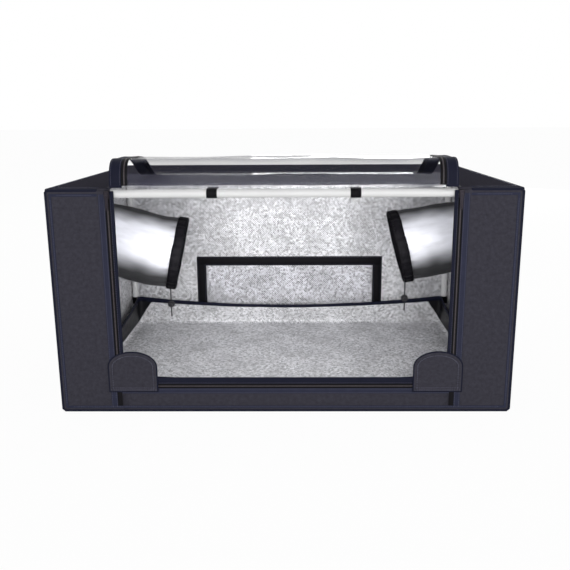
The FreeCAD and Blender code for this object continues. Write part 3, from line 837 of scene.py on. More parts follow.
class PROPAGATOR_OT_seams(bpy.types.Operator):
    """Makes the raised seams and the piping along the edges of the shell"""
    bl_idname = "propagator.seams"
    bl_label = "Make the edge seams"

    def execute(self, context):
        bm = bmesh.new()
        inset, width, proud = 10 * MM, 5 * MM, 0.5 * MM
        low, high = SHELL_LOW, SHELL_HIGH

        def seam(axis, sign, run, near, start, end):
            across = 3 - axis - run
            edge, step = (low[across] + inset, width) if near < 0 else (high[across] - inset, -width)
            face = high[axis] if sign > 0 else low[axis]
            a, b = Vector(), Vector()
            a[axis], b[axis] = face - sign * SUNK, face + sign * proud
            a[across], b[across] = edge, edge + step
            a[run], b[run] = start, end
            tape(bm, a, b, 0)
            row_a, row_b, out = Vector(), Vector(), Vector()
            row_a[axis] = row_b[axis] = face + sign * proud
            row_a[across] = row_b[across] = edge + step * 0.5
            row_a[run], row_b[run] = start + inset, end - inset
            out[axis] = sign
            stitch(bm, (row_a, row_b), out, 1)

        butt = inset + width
        for sign in (-1, 1):
            for near in (-1, 1):
                seam(0, sign, 2, near, low.z + inset, high.z - inset)
                seam(0, sign, 1, near, low.y + butt, high.y - butt)
                seam(1, sign, 2, near, low.z + inset, high.z - inset)
        for near in (-1, 1):
            seam(1, 1, 0, near, low.x + butt, high.x - butt)
            seam(2, 1, 1, near, low.y + inset, high.y - inset)
        seam(2, 1, 0, 1, low.x + butt, high.x - butt)
        seam(1, -1, 0, -1, low.x + butt, high.x - butt)
        for sx in (-1, 1):
            ends = sorted((sx * (OPENING_X + OPENING_LAP), sx * (high.x - butt)))
            seam(1, -1, 0, 1, *ends)
            seam(2, 1, 0, -1, *ends)
        make("edge_seams", bm, (twill_facing, sewing_thread), "shell")

        bm = bmesh.new()
        sunk, short = 0.6 * MM, 5 * MM
        for run, thick in enumerate(PIPING):
            others = [i for i in range(3) if i != run]
            for ends in ((0, 0), (0, 1), (1, 0), (1, 1)):
                a, b = Vector(), Vector()
                for axis, far in zip(others, ends):
                    face = high[axis] - sunk if far else low[axis] + sunk
                    a[axis], b[axis] = face, face + (-thick if far else thick)
                spans = [(low[run] + short, high[run] - short)]
                if run == 0 and ends == (0, 1):
                    spans = [(sx * (OPENING_X + OPENING_LAP), sx * (high.x - short)) for sx in (-1, 1)]
                for start, end in spans:
                    a[run], b[run] = start, end
                    tape(bm, a, b, 0, soft=thick * 0.42)
        make("edge_piping", bm, (ribbed_binding,), "shell")
        return {"FINISHED"}


class PROPAGATOR_OT_opening(bpy.types.Operator):
    """Makes the facings, bindings and zip round the opening"""
    bl_idname = "propagator.opening"
    bl_label = "Make the opening and zip"

    def execute(self, context):
        top = SHELL_HIGH.z - sizes().edge_round
        out = (0, -1, 0)
        foot, start, crown = 15 * MM, 12 * MM, top + 6 * MM
        bound, under, soft = 1.1 * MM, 2.2 * MM, 0.8 * MM
        tab, zip_tape = 0.8 * MM, 0.7 * MM
        inner, outer = ZIP_MID - ZIP_HALF, ZIP_MID + ZIP_HALF
        lower, upper = ZIP_LOW - ZIP_HALF, ZIP_LOW + ZIP_HALF
        trim = bmesh.new()
        zips = {name: bmesh.new() for name in (*SIDES, "bottom")}

        def lay(bm, a, b, index, proud):
            tape(bm, (a[0], FRONT_Y + SUNK, a[1]), (b[0], FRONT_Y - proud, b[1]), index)

        def bind(a, b):
            tape(trim, (a[0], FRONT_Y + under, a[1]), (b[0], FRONT_Y - bound, b[1]), 0, soft=soft)

        def sew(a, b, proud):
            stitch(trim, [(x, FRONT_Y - proud, z) for x, z in (a, b)], out, 1)

        def close(name, a, b):
            coil(zips[name], *((x, FRONT_Y - PROUD, z) for x, z in (a, b)), out, 1)

        for side, sx in SIDES.items():
            lay(trim, (sx * outer, foot), (sx * (outer + SIDE_FACING), top), 3, PROUD)
            for x in (outer + ROW_INSET, outer + SIDE_FACING - ROW_INSET):
                sew((sx * x, start), (sx * x, top), PROUD)
            near, row, far = (sx * (OPENING_X + lap * MM) for lap in (-7, -0.8, 0.5))
            bind((near, SILL_TOP - 1 * MM), (far, crown))
            sew((row, SILL_TOP), (row, top), bound)
            lay(trim, (sx * inner, foot), (sx * outer, lower), 2, tab)
            lay(zips[side], (sx * inner, lower), (sx * outer, crown + 1 * MM), 0, zip_tape)
            close(side, (sx * ZIP_MID, ZIP_LOW), (sx * ZIP_MID, crown))
        lay(trim, (-inner, lower), (inner, lower - SILL_FACING), 3, PROUD)
        for z in (lower - ROW_INSET, lower - SILL_FACING + ROW_INSET):
            sew((-inner, z), (inner, z), PROUD)
        bind((-OPENING_X, upper), (OPENING_X, SILL_TOP + 0.8 * MM))
        row = upper + 1.8 * MM
        sew((-OPENING_X, row), (OPENING_X, row), bound)
        make("opening_trim", trim, (ribbed_binding, sewing_thread, polypropylene_webbing, twill_facing),
             "shell")
        lay(zips["bottom"], (-inner, lower), (inner, upper), 0, zip_tape)
        close("bottom", (-inner, ZIP_LOW), (inner, ZIP_LOW))
        for name, bm in zips.items():
            make(f"zip_{name}", bm, (polypropylene_webbing, nylon_coil), "shell",
                 (f"zip_track_{name}",))
        return {"FINISHED"}


# Clear roof strip and door

class PROPAGATOR_OT_roof_strip(bpy.types.Operator):
    """Makes the clear strip in the roof, which runs on to the line that the door hangs from"""
    bl_idname = "propagator.roof_strip"
    bl_label = "Make the roof strip"

    def execute(self, context):
        front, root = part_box("door_header")[0].y, DOOR_CURVE[0][0][1] * MM
        back = WINDOW_BACK + 6 * MM
        top = SHELL_HIGH.z - 0.2 * MM
        climb, calm_run, sag = 14 * MM, 30 * MM, 1.5 * MM
        bm = box_between((-OPENING_X, front, top - sizes().clear_wall), (OPENING_X, back, top))
        cut(bm, 0, net(-OPENING_X, OPENING_X, FILM_NET))
        cut(bm, 1, net(front, WINDOW_BACK, 8 * MM))
        lay_cloth(bm)
        for vert in bm.verts:
            lift = 1.0 - ease((vert.co.y - front) / climb)
            calm = ease((vert.co.y - front) / calm_run) * ease((WINDOW_BACK - vert.co.y) / calm_run)
            vert.co.z += (root - top) * lift - sag * calm * (0.5 + 0.5 * noise.noise(vert.co * 9.0))
        piece = make("roof_strip", bm, (taut_vinyl,), "shell", ("roof_window", "door_header"))
        trim = bmesh.new()
        up, face = (0, 0, 1), top + PROUD
        tape(trim, (-OPENING_X, WINDOW_BACK - 4 * MM, top), (OPENING_X, back, face), 0)
        for y in (WINDOW_BACK - 2 * MM, WINDOW_BACK + 4 * MM):
            stitch(trim, ((-OPENING_X, y, face), (OPENING_X, y, face)), up, 1)
        for sx in SIDES.values():
            inner, row, outer = (sx * (OPENING_X + lap * MM) for lap in (-3, 5, 7))
            tape(trim, (inner, WINDOW_BACK, top), (outer, FRONT_Y + 6 * MM, face), 0)
            stitch(trim, ((row, FRONT_Y + 8 * MM, face), (row, WINDOW_BACK, face)), up, 1)
        make("roof_strip_binding", trim, (ribbed_binding, sewing_thread), "shell")
        return {"FINISHED"}


def door_line():
    """Points of the folded-back door's side curve, each with its distance along the cloth and its normal."""
    points = []
    for knots in DOOR_CURVE:
        part = interpolate_bezier(*(Vector((y * MM, z * MM)) for y, z in knots), 33)
        points += part if not points else part[1:]
    line, run = [], 0.0
    for i, point in enumerate(points):
        run += (point - points[i - 1]).length if i else 0.0
        along = (points[min(i + 1, len(points) - 1)] - points[max(i - 1, 0)]).normalized()
        line.append((run, point, Vector((-along.y, along.x))))
    return line


def on_line(line, run):
    """Point and normal at a distance along the door."""
    for (run_a, point_a, normal_a), (run_b, point_b, normal_b) in zip(line, line[1:]):
        if run <= run_b:
            break
    t = (run - run_a) / (run_b - run_a)
    return point_a + (point_b - point_a) * t, normal_a.lerp(normal_b, min(max(t, 0.0), 1.0)).normalized()


def bend_door(bm, line):
    """Bends flat door cloth, drawn as (across, along, height), onto the door's curve."""
    for vert in bm.verts:
        point, normal = on_line(line, vert.co.y)
        place = point + normal * vert.co.z
        vert.co.y, vert.co.z = place
    bmesh.ops.recalc_face_normals(bm, faces=bm.faces[:])


class PROPAGATOR_OT_door(bpy.types.Operator):
    """Makes the clear door with its bound edges, folded back over the roof"""
    bl_idname = "propagator.door"
    bl_label = "Make the door"

    def execute(self, context):
        line = door_line()
        end = line[-1][0]
        hem = end - DOOR_HEM
        wall, wave = sizes().clear_wall, sizes().clear_wave
        up = (0, 0, 1)
        borders = (0.0, *DOOR_BORDERS, end)
        lap, flat_side = 3 * MM, 90 * MM
        band_face, coil_height = 0.8 * MM, 1.0 * MM
        hem_face, hem_row = 1.0 * MM, 1.1 * MM

        def carry(piece):
            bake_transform(piece)

        def flat_film(start, stop, under, over):
            bm = box_between((-DOOR_ZIP, start, under), (DOOR_ZIP, stop, over))
            cut(bm, 0, net(-DOOR_ZIP, DOOR_ZIP, FILM_NET))
            cut(bm, 1, net(start, stop, BEND_NET))
            lay_cloth(bm)
            return bm

        bm = flat_film(0.0, DOOR_FOLD, -wall * 1.8, -wall * 0.8)
        bend_door(bm, line)
        piece = make("door_top_fold", bm, (welded_vinyl,))
        carry(piece)
        for number, (start, stop) in enumerate(zip(borders, borders[1:]), 1):
            last = min(stop, hem + lap)
            bm = flat_film(start, last, -wall / 2, wall / 2)
            for vert in bm.verts:
                calm = ease((DOOR_ZIP - abs(vert.co.x)) / flat_side)
                calm *= ease(vert.co.y / SLACK_RAMP) * ease((hem - vert.co.y) / SLACK_RAMP)
                at = Vector((vert.co.x * 6.0, vert.co.y * 9.0, 0.0))
                vert.co.z += wave * calm * (noise.noise(at) + 0.4 * noise.noise(at * 2.7))
            bend_door(bm, line)
            nodes = (f"door_window_{number}",) if number < 3 else ("door_window_3", "door_window_4")
            piece = make(f"door_film_{number}", bm, (clear_vinyl,), None, nodes)
            carry(piece)

            bm = bmesh.new()
            first = max(start, 4 * MM)
            for sx in SIDES.values():
                for a, b, index in (
                    ((DOOR_ZIP + 5 * MM, start, -band_face), (DOOR_EDGE, last, band_face), 0),
                    ((DOOR_ZIP - 6 * MM, first, 0.4 * MM), (DOOR_ZIP + 6 * MM, last, 1.2 * MM), 2),
                ):
                    tape(bm, (sx * a[0], *a[1:]), (sx * b[0], *b[1:]), index, step=BEND_NET)
                x = sx * DOOR_ZIP
                coil(bm, (x, first, coil_height), (x, last, coil_height), up, 3)
                for x in (DOOR_ZIP + 8 * MM, DOOR_EDGE - 3 * MM):
                    stitch(bm, ((sx * x, first, PROUD), (sx * x, last, PROUD)), up, 1)
            if number == 3:
                tape(bm, (-DOOR_EDGE, hem, -hem_face), (DOOR_EDGE, end, hem_face), 0, step=10 * MM)
                edge = DOOR_EDGE - 4 * MM
                for run in (hem + lap, end - 4 * MM):
                    stitch(bm, ((-edge, run, hem_row), (edge, run, hem_row)), up, 1)
            bend_door(bm, line)
            nodes = (f"door_bands_{number}",) if number < 3 else ("door_bands_3", "door_hem")
            finishes = (ribbed_binding, sewing_thread, polypropylene_webbing, nylon_coil)
            piece = make(f"door_edge_{number}", bm, finishes, None, nodes)
            carry(piece)
        return {"FINISHED"}


# Straps, ducts, vent, tray and flaps

class PROPAGATOR_OT_straps(bpy.types.Operator):
    """Makes the webbing straps round the front top tube"""
    bl_idname = "propagator.straps"
    bl_label = "Make the pole straps"

    def execute(self, context):
        for side in SIDES:
            low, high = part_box(f"pole_strap_{side}")
            middle = (low + high) / 2
            width, radius = high.x - low.x, (high.z - low.z) / 2
            bm = bmesh.new()
            merge(bm, hoop(middle, (1, 0, 0), radius - 0.4 * MM, 1.0 * MM, width, steps=40), 0)
            top = high.z - 0.9 * MM
            face = top + 1.2 * MM
            rows, patch, tail = (13 * MM, 25 * MM), (30 * MM, 38 * MM), 34 * MM
            tape(bm, (low.x, middle.y, top), (high.x, middle.y + tail, face), 0, step=BEND_NET)
            tape(bm, (low.x + 1 * MM, middle.y + patch[0], top - SUNK),
                 (high.x - 1 * MM, middle.y + patch[1], face + 0.2 * MM), 2)
            for y in (middle.y + row for row in rows):
                stitch(bm, ((low.x + 3 * MM, y, face), (high.x - 3 * MM, y, face)), (0, 0, 1), 1)
            make(f"webbing_strap_{side}", bm, (polypropylene_webbing, sewing_thread, silvered_sleeve_cloth),
                 "shell", (f"pole_strap_{side}",))
        return {"FINISHED"}


def sock_axis(side):
    """Start and mouth of a drooping duct sock, the way that its mouth faces and the way up across it."""
    sx, droop, tilt = SIDES[side], SOCK_DROOP[side], MOUTH_TILT[side]
    start = Vector((sx * (SHELL_HIGH.x - 2 * MM), 0.0, PORT_Z))
    hang = Vector((-sx * math.cos(droop), 0.0, -math.sin(droop)))
    ahead = Vector((-sx * math.cos(tilt), 0.0, -math.sin(tilt)))
    up = Vector((-sx * math.sin(tilt), 0.0, math.cos(tilt)))
    mouth = start + Vector((-sx * SOCK_COLLAR, 0.0, 0.0)) + hang * SOCK_LENGTH
    return start, mouth, ahead, up


def gather(turn, depth):
    """Depth of the cuff's gathers round its edge."""
    return depth * (math.sin(24 * turn + 1.7 * math.sin(3 * turn)) + 0.4 * math.sin(41 * turn + 1.0))


def round_from(centre, up, turn, radius):
    """Place on an upright ring, by its turn from the top."""
    return centre + up * math.cos(turn) * radius + Vector((0, 1, 0)) * math.sin(turn) * radius


def roll(bm, place):
    """Rolls a flat sleeve sheet into a tube and closes its seam."""
    for vert in bm.verts:
        vert.co = place(2 * math.pi * vert.co.x, vert.co.y)
    bmesh.ops.remove_doubles(bm, verts=bm.verts[:], dist=1e-5)


class PROPAGATOR_OT_ducts(bpy.types.Operator):
    """Makes the duct ports: outer rings, silver socks and drawstring cuffs"""
    bl_idname = "propagator.ducts"
    bl_label = "Make the duct ports"

    def execute(self, context):
        depth = sizes().gather_depth
        crinkle, pinch, swell = 2.4 * MM, 4.0 * MM, 1.6 * MM
        row_inset, cuff_in, slide = 2.5 * MM, 1.4 * MM, 1.2 * MM
        for side, sx in SIDES.items():
            start, mouth, ahead, up = sock_axis(side)
            low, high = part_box(f"port_ring_{side}")
            outer = (high.z - low.z) / 2
            middle = Vector(((low.x + high.x) / 2, 0.0, PORT_Z))
            thick = high.x - low.x
            bm = bmesh.new()
            merge(bm, hoop(middle, (1, 0, 0), (outer + PORT_RADIUS) / 2, outer - PORT_RADIUS, thick, 96), 0)
            face = middle.x + sx * thick / 2
            turns = [i * math.pi / 50 for i in range(101)]
            for radius in (PORT_RADIUS + row_inset, outer - row_inset):
                points = [(face, radius * math.cos(turn), PORT_Z + radius * math.sin(turn)) for turn in turns]
                stitch(bm, points, (sx, 0, 0), 1)
            make(f"port_binding_{side}", bm, (polypropylene_webbing, sewing_thread), "shell",
                 (f"port_ring_{side}",))

            handles = start - Vector((sx * 45 * MM, 0, 0)), mouth - ahead * 60 * MM
            curve = interpolate_bezier(start, *handles, mouth, SOCK_STEPS + 1)

            def on_sock(turn, t):
                i = min(int(t * SOCK_STEPS), SOCK_STEPS - 1)
                centre = curve[i].lerp(curve[i + 1], t * SOCK_STEPS - i)
                way = (curve[i + 1] - curve[i]).normalized()
                rise = Vector((0, sx, 0)).cross(way) * sx
                rise = rise if rise.z > 0 else -rise
                at = Vector((math.cos(turn) * 0.5, math.sin(turn) * 0.5, t * 1.5))
                radius = PORT_RADIUS + (SOCK_MOUTH - PORT_RADIUS) * ease(t)
                radius += SOCK_BELLY[side] * math.sin(math.pi * t) * (0.5 - 0.5 * math.cos(turn))
                radius += ease(t * 6) * crinkle * (noise.noise(at * 3.0) + 0.4 * noise.noise(at * 8.0))
                radius += gather(turn, depth * 0.7) * ease((t - 0.8) / 0.2) - pinch * ease(t)
                centre = centre + way * lean(turn) * ease((t - 0.4) / 0.6)
                return round_from(centre, rise, turn, radius)

            def lean(turn):
                return SOCK_TIP[side] * math.cos(turn) - SOCK_LEAN[side] * math.sin(turn) + SOCK_REACH[side]

            around = 2 * math.pi * SOCK_MOUTH
            run = SOCK_COLLAR + SOCK_LENGTH
            bm = sleeve(168, 36, around, run)
            roll(bm, on_sock)
            face_away(bm, (start + mouth) / 2)
            piece = make(f"sock_cloth_{side}", bm, (silvered_sleeve_cloth,), "shell",
                         (f"duct_sock_{side}",), wall=0.8 * MM)

            def on_cuff(turn, t):
                radius = SOCK_MOUTH - cuff_in + swell * math.sin(math.pi * t)
                radius += gather(turn, depth * (0.9 - 0.3 * t))
                slip = slide * noise.noise(Vector((math.cos(turn), math.sin(turn), 0.3)) * 2.0)
                centre = mouth + ahead * (t * (CUFF_WIDTH + 1 * MM) - 3 * MM + slip + lean(turn))
                return round_from(centre, up, turn, radius)

            bm = sleeve(240, 10, around, CUFF_WIDTH)
            roll(bm, on_cuff)
            face_away(bm, mouth)
            for t in (0.14, 0.86):
                points = [on_cuff(i * math.pi / 60, t) for i in range(121)]
                for a, b in zip(points, points[1:]):
                    out = (a + b) / 2 - mouth
                    stitch(bm, (a, b), (out - ahead * out.dot(ahead)).normalized(), 0)
            make(f"cuff_{side}", bm, (polypropylene_webbing,), "shell",
                 (f"duct_cuff_{side}",), wall=1.6 * MM)
        return {"FINISHED"}


class PROPAGATOR_OT_cords(bpy.types.Operator):
    """Makes the drawcords that hang from the cuffs, each ending in a knot"""
    bl_idname = "propagator.cords"
    bl_label = "Make the drawcords"

    def execute(self, context):
        diameter = sizes().cord_diameter
        for side in SIDES:
            low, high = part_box(f"drawcord_{side}")
            x, y = (low.x + high.x) / 2, (low.y + high.y) / 2
            run = bpy.data.curves.new(f"cord_{side}", "CURVE")
            run.dimensions = "3D"
            run.bevel_depth = diameter / 2
            run.bevel_resolution = 4
            run.use_fill_caps = True
            spline = run.splines.new("NURBS")
            spline.points.add(3)
            for point, t in zip(spline.points, (0.0, 0.35, 0.7, 1.0)):
                point.co = (x, y, high.z + (low.z - high.z) * t, 1.0)
            spline.order_u = 3
            spline.use_endpoint_u = True
            run.materials.append(finish(braided_cord))
            piece = bpy.data.objects.new(f"cord_{side}", run)
            context.scene.collection.objects.link(piece)
            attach(piece, "shell")
            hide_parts(f"drawcord_{side}")
            knot = bmesh.new()
            centre = (x, y, low.z + 3.0 * MM)
            for tilt in ((0.3, 0.2, 1.0), (1.0, 0.4, 0.3), (-0.4, 1.0, 0.5)):
                merge(knot, hoop(centre, Vector(tilt).normalized(), 1.3 * MM, 1.9 * MM, 2.0 * MM, 24))
            tied = make(f"cord_knot_{side}", knot, (braided_cord,), "shell")
        return {"FINISHED"}


def ring_inside(low, high, inset):
    """Closed rectangle of (x, z) places, set in from a box's sides."""
    left, right, bottom, top = low.x + inset, high.x - inset, low.z + inset, high.z - inset
    return (left, bottom), (right, bottom), (right, top), (left, top), (left, bottom)


class PROPAGATOR_OT_vent(bpy.types.Operator):
    """Makes the vent in the back wall: its tape frame inside and its flap outside"""
    bl_idname = "propagator.vent"
    bl_label = "Make the vent"

    def execute(self, context):
        low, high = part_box("vent_tape_frame")
        back, front = high.y, low.y
        face, row = front - 0.5 * MM, front - 0.6 * MM
        bm = bmesh.new()
        for bottom in (high.z - VENT_TAPE, low.z):
            tape(bm, (low.x, back, bottom), (high.x, face, bottom + VENT_TAPE), 0)
        for a, b in ((low.x, low.x + VENT_TAPE), (high.x - VENT_TAPE, high.x)):
            tape(bm, (a, back, low.z + 1 * MM), (b, front, high.z - 1 * MM), 0)
        for inset in (3 * MM, VENT_TAPE - 3 * MM):
            ring = ring_inside(low, high, inset)
            stitch(bm, [(x, row, z) for x, z in ring], (0, -1, 0), 1)
        make("vent_tapes", bm, (polypropylene_webbing, sewing_thread), "shell",
             ("vent_tape_frame",))
        low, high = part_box("vent_flap")
        middle, size = (low + high) / 2, high - low
        bm = bmesh.new()
        bmesh.ops.create_grid(bm, x_segments=24, y_segments=8, size=0.5)
        for vert in bm.verts:
            vert.co = (middle.x + vert.co.x * size.x, high.y, middle.z + vert.co.y * size.z)
        lay_cloth(bm)
        face_out(bm, 1, 1.0)
        slacken(bm, 1, -1.0, depth=2.5 * MM)
        piece = make("vent_flap_cloth", bm, (woven_oxford, recess_shaded_film), "vent_flap",
                     ("vent_flap",), wall=high.y - low.y, lining=1)
        bm = bmesh.new()
        hem, hinge_room = 8 * MM, 2.5 * MM
        for a, b in (
            ((low.x, low.z), (high.x, low.z + hem)),
            ((low.x, high.z - hem), (high.x, high.z - hinge_room)),
            ((low.x, low.z + hem), (low.x + hem, high.z - hem)),
            ((high.x - hem, low.z + hem), (high.x, high.z - hem)),
        ):
            tape(bm, (a[0], high.y - 0.4 * MM, a[1]), (b[0], high.y + 0.8 * MM, b[1]), 0)
        ring = ring_inside(low, high, hem - 2 * MM)
        stitch(bm, [(x, high.y + PROUD, z) for x, z in ring], (0, 1, 0), 1)
        make("vent_flap_hem", bm, (ribbed_binding, sewing_thread), "vent_flap")
        return {"FINISHED"}


def tray_form(rim_only=False):
    """Open tray with rounded corners, its rim hanging slack between the posts."""
    low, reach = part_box("floor_tray")
    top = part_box("tray_binding")[1].z
    sag = top - TRAY_LOW
    bm = box_between(low, (reach.x, reach.y, top))
    lid = [face for face in bm.faces if all(vert.co.z > top - MM for vert in face.verts)]
    bmesh.ops.delete(bm, geom=lid, context="FACES_ONLY")
    inner = [edge for edge in bm.edges if not edge.is_boundary]
    soften(bm, inner, TRAY_ROUND, 4)
    for axis in (0, 1):
        cut(bm, axis, net(low[axis], reach[axis], TRAY_NET))
    cut(bm, 2, (*TRAY_CUTS, top - TRAY_RIM))
    foot = low.z + TRAY_FOOT
    for sx in SIDES.values():
        corner = Vector((sx * (reach.x - TRAY_GUSSET), 0.0, top))
        slant = Vector((sx * (top - foot), 0.0, TRAY_GUSSET))
        cut_plane(bm, corner, slant)
        for face in bm.faces:
            middle = face.calc_center_median()
            if middle.z > foot and (middle - corner).dot(slant) > 0:
                face.material_index = 2
    if rim_only:
        gone = [face for face in bm.faces if face.calc_center_median().z < top - TRAY_RIM]
        bmesh.ops.delete(bm, geom=gone, context="FACES")
        face_away(bm, Vector((0.0, 0.0, top)))
    else:
        face_out(bm, 2, -1.0)
    lay_cloth(bm)
    for vert in bm.verts:
        co = vert.co
        rise = (co.z - low.z) / (top - low.z)
        long_side = reach.y - abs(co.y) < reach.x - abs(co.x)
        part = co.x / reach.x if long_side else co.y / reach.y
        slack = 1.0 - min(abs(part), 1.0) ** 2
        lean = rise * slack * (5.0 + 3.0 * noise.noise(co * 9.0)) * MM
        if long_side:
            co.y -= math.copysign(lean, co.y)
        else:
            co.x -= math.copysign(lean, co.x)
        if rise < 0.2:
            inset = min(reach.x - abs(co.x), reach.y - abs(co.y))
            fold = max(math.exp(-(away / (5 * MM)) ** 2) for away in (abs(co.x) - TRAY_FOLD, co.y))
            wrinkle = 0.6 + 0.5 * noise.noise(co * 11.0) + 0.8 * fold
            co.z += 2.0 * MM * wrinkle * ease((inset - 16 * MM) / (30 * MM))
        co.z -= sag * slack * rise ** 1.5
    return bm


class PROPAGATOR_OT_tray(bpy.types.Operator):
    """Makes the slack floor tray, its bound rim and the loops that tie it to the posts"""
    bl_idname = "propagator.tray"
    bl_label = "Make the floor tray"

    def execute(self, context):
        low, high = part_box("tray_binding")
        bm = tray_form()
        finishes = (woven_oxford, embossed_film, near_black_tray_ends, near_black_tray_ends)
        piece = make("tray_cloth", bm, finishes, "floor_tray",
                     ("floor_tray", "tray_walls"), wall=1.2 * MM, lining=1)
        rim = tray_form(rim_only=True)
        for face in rim.faces:
            face.material_index = 0
        edge = make("tray_rim", rim, (ribbed_binding,), "floor_tray", ("tray_binding",),
                    wall=2.8 * MM)
        edge.modifiers["wall"].offset = -0.35
        low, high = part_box("tray_ties")
        bm = bmesh.new()
        wide = 20 * MM
        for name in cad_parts:
            if not name.startswith("post_"):
                continue
            middle = sum(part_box(name), Vector()) / 2
            centre = Vector((middle.x, middle.y, (low.z + high.z) / 2))
            merge(bm, hoop(centre, (0, 0, 1), high.x - abs(middle.x) - 0.5 * MM, 1.0 * MM, wide, 40), 0)
        make("tray_tie_loops", bm, (polypropylene_webbing,), "shell", ("tray_ties",))
        return {"FINISHED"}


class PROPAGATOR_OT_corner_flaps(bpy.types.Operator):
    """Makes the bound flaps over the lower corners of the opening"""
    bl_idname = "propagator.corner_flaps"
    bl_label = "Make the corner flaps"

    def execute(self, context):
        for side in SIDES:
            low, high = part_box(f"corner_flap_{side}")
            middle, half = (low.x + high.x) / 2, (high.x - low.x) / 2
            front = low.y + FLAP_ROOM
            shoulder = high.z - FLAP_CROWN
            bm = bmesh.new()
            bmesh.ops.create_circle(bm, segments=96, radius=1.0, cap_ends=True)
            for vert in bm.verts:
                c, s = vert.co.x, vert.co.y
                if s >= -1e-6:
                    vert.co = (middle + half * c, front, shoulder + FLAP_CROWN * s)
                else:
                    reach = max(abs(c), abs(s))
                    vert.co = (middle + half * c / reach, front, shoulder + (shoulder - low.z) * s / reach)
            face_out(bm, 1, -1.0)
            for thickness in FLAP_INSETS:
                inner = max(bm.faces, key=lambda face: face.calc_area())
                bmesh.ops.inset_region(bm, faces=[inner], thickness=thickness, use_boundary=True,
                                       use_even_offset=True)
            inner = max(bm.faces, key=lambda face: face.calc_area())
            for face in bm.faces:
                face.material_index = 0 if face is inner else 2
            row = [loop.vert.co.copy() for loop in inner.loops]
            row.append(row[0].copy())
            cut(bm, 0, net(low.x, high.x, FLAP_NET))
            cut(bm, 2, net(low.z, high.z, FLAP_NET))
            lay_cloth(bm)
            border = [face for face in bm.faces if face.material_index == 2]
            for vert in {vert for face in border for vert in face.verts}:
                vert.co.y -= FLAP_BORDER
            for face in border:
                face.material_index = 1 if any(edge.is_boundary for edge in face.edges) else 0

            def bow(co):
                rise = math.sin(math.pi * (co.z - low.z) / (high.z - low.z) / 2)
                return FLAP_BOW * rise * (0.5 + 0.5 * math.cos(math.pi * (co.x - middle) / half))

            for vert in bm.verts:
                vert.co.y -= bow(vert.co)
            for co in row:
                co.y -= 0.2 * MM + bow(co)
            piece = make(f"corner_flap_cloth_{side}", bm, (woven_oxford, ribbed_binding),
                         f"corner_flap_{side}", (f"corner_flap_{side}",), wall=high.y - front)
            sewn = bmesh.new()
            stitch(sewn, row, (0, -1, 0), 0)
            y = front - FLAP_BORDER
            for z in (low.z + 3 * MM, low.z + 6 * MM):
                stitch(sewn, ((low.x + 3 * MM, y, z), (high.x - 3 * MM, y, z)), (0, -1, 0), 0)
            make(f"corner_flap_stitches_{side}", sewn, (sewing_thread,),
                 f"corner_flap_{side}")
        return {"FINISHED"}


# Stage

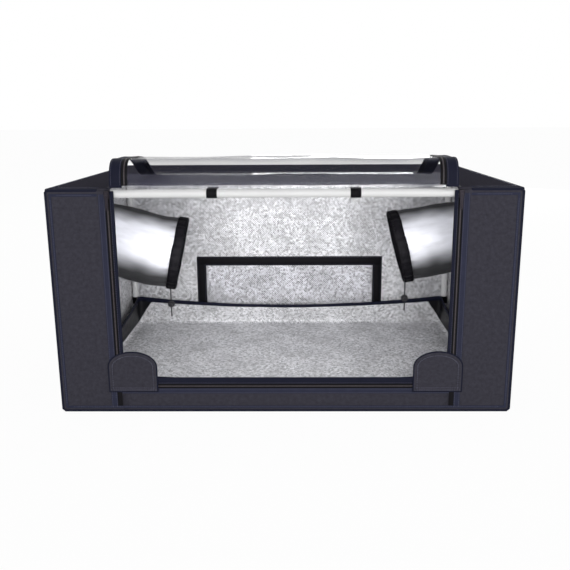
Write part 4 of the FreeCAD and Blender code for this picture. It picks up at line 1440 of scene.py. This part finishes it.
class PROPAGATOR_OT_stage(bpy.types.Operator):
    """Sets the white floor, the soft studio lights and the camera"""
    bl_idname = "propagator.stage"
    bl_label = "Set the stage"

    def execute(self, context):
        scene = context.scene
        scene.view_settings.view_transform = "Standard"
        bm = bmesh.new()
        bmesh.ops.create_grid(bm, x_segments=2, y_segments=2, size=FLOOR_SIZE)
        bmesh.ops.translate(bm, vec=(0, 0, -FLOOR_DROP), verts=bm.verts[:])
        mesh = bpy.data.meshes.new("studio_floor")
        bm.to_mesh(mesh)
        bm.free()
        paper = bpy.data.materials.new("studio_paper")
        paper.use_nodes = True
        tree = paper.node_tree
        shader = tree.nodes["Principled BSDF"]
        wire(tree, shader, {"Base Color": shade(colours().floor, 1.0), "Roughness": 0.9,
                            "Specular IOR Level": 0.1})
        share = add(tree, "Math", {0: seen_rays(tree), 1: FLOOR_GLOW}, operation="MULTIPLY")
        white = add(tree, "Emission", {"Strength": 1.0})
        mixed = add(tree, "MixShader", {0: share.outputs[0], 1: shader.outputs[0], 2: white.outputs[0]})
        wire(tree, tree.nodes["Material Output"], {"Surface": mixed.outputs[0]})
        mesh.materials.append(paper)
        floor = bpy.data.objects.new("studio_floor", mesh)
        scene.collection.objects.link(floor)

        world = bpy.data.worlds.new("studio")
        scene.world = world
        world.use_nodes = True
        tree = world.node_tree
        sky = tree.nodes["Background"]
        wire(tree, sky, {"Color": (1.0, 1.0, 1.0, 1.0), "Strength": SKY})
        white = add(tree, "Background", {"Color": (1.0, 1.0, 1.0, 1.0), "Strength": 1.0})
        mixed = add(tree, "MixShader", {0: seen_rays(tree), 1: sky.outputs[0], 2: white.outputs[0]})
        wire(tree, tree.nodes["World Output"], {"Surface": mixed.outputs[0]})

        for name, place, aim, width, height, power in LIGHTS:
            light = bpy.data.lights.new(name, "AREA")
            light.shape = "RECTANGLE"
            light.size, light.size_y = width, height
            light.energy = power
            lamp = bpy.data.objects.new(name, light)
            lamp.visible_camera = False
            lamp.location = place
            lamp.rotation_euler = (Vector(aim) - Vector(place)).to_track_quat("-Z", "Y").to_euler()
            scene.collection.objects.link(lamp)

        lens = bpy.data.cameras.new("camera")
        lens.sensor_fit = "HORIZONTAL"
        lens.sensor_width = CAMERA_SENSOR
        lens.lens = CAMERA_LENS
        lens.shift_x, lens.shift_y = CAMERA_SHIFT
        camera = bpy.data.objects.new("camera", lens)
        camera.location = CAMERA_PLACE
        pan, tilt, roll = (Matrix.Rotation(math.radians(turn), 3, axis) for turn, axis in CAMERA_TURNS)
        camera.rotation_euler = (pan @ tilt @ roll).to_euler()
        scene.collection.objects.link(camera)
        scene.camera = camera
        return {"FINISHED"}


class PROPAGATOR_PT_panel(bpy.types.Panel):
    """Lists the tent's pieces, sizes and colours"""
    bl_idname = "PROPAGATOR_PT_panel"
    bl_label = "Propagator"
    bl_space_type = "VIEW_3D"
    bl_region_type = "UI"
    bl_category = "Propagator"

    def draw(self, context):
        for operator in OPERATORS:
            self.layout.operator(operator.bl_idname)
        for group in (context.scene.propagator_sizes, context.scene.propagator_colours):
            box = self.layout.box()
            for name in group.__annotations__:
                box.prop(group, name)


OPERATORS = (
    PROPAGATOR_OT_stage, PROPAGATOR_OT_frame, PROPAGATOR_OT_cords, PROPAGATOR_OT_shell,
    PROPAGATOR_OT_seams, PROPAGATOR_OT_opening, PROPAGATOR_OT_roof_strip, PROPAGATOR_OT_door,
    PROPAGATOR_OT_straps, PROPAGATOR_OT_ducts, PROPAGATOR_OT_vent, PROPAGATOR_OT_tray,
    PROPAGATOR_OT_corner_flaps,
)
CLASSES = (PropagatorSizes, PropagatorColours, *OPERATORS, PROPAGATOR_PT_panel)


def register():
    """Registers the tent's classes and its settings."""
    for cls in CLASSES:
        bpy.utils.register_class(cls)
    bpy.types.Scene.propagator_sizes = PointerProperty(type=PropagatorSizes)
    bpy.types.Scene.propagator_colours = PointerProperty(type=PropagatorColours)


def unregister():
    """Takes the tent's classes and settings away."""
    del bpy.types.Scene.propagator_sizes
    del bpy.types.Scene.propagator_colours
    for cls in reversed(CLASSES):
        bpy.utils.unregister_class(cls)


def main():
    """Registers the classes and makes every piece in order."""
    register()
    for operator in OPERATORS:
        group, name = operator.bl_idname.split(".")
        getattr(getattr(bpy.ops, group), name)()


if __name__ == "__main__":
    main()
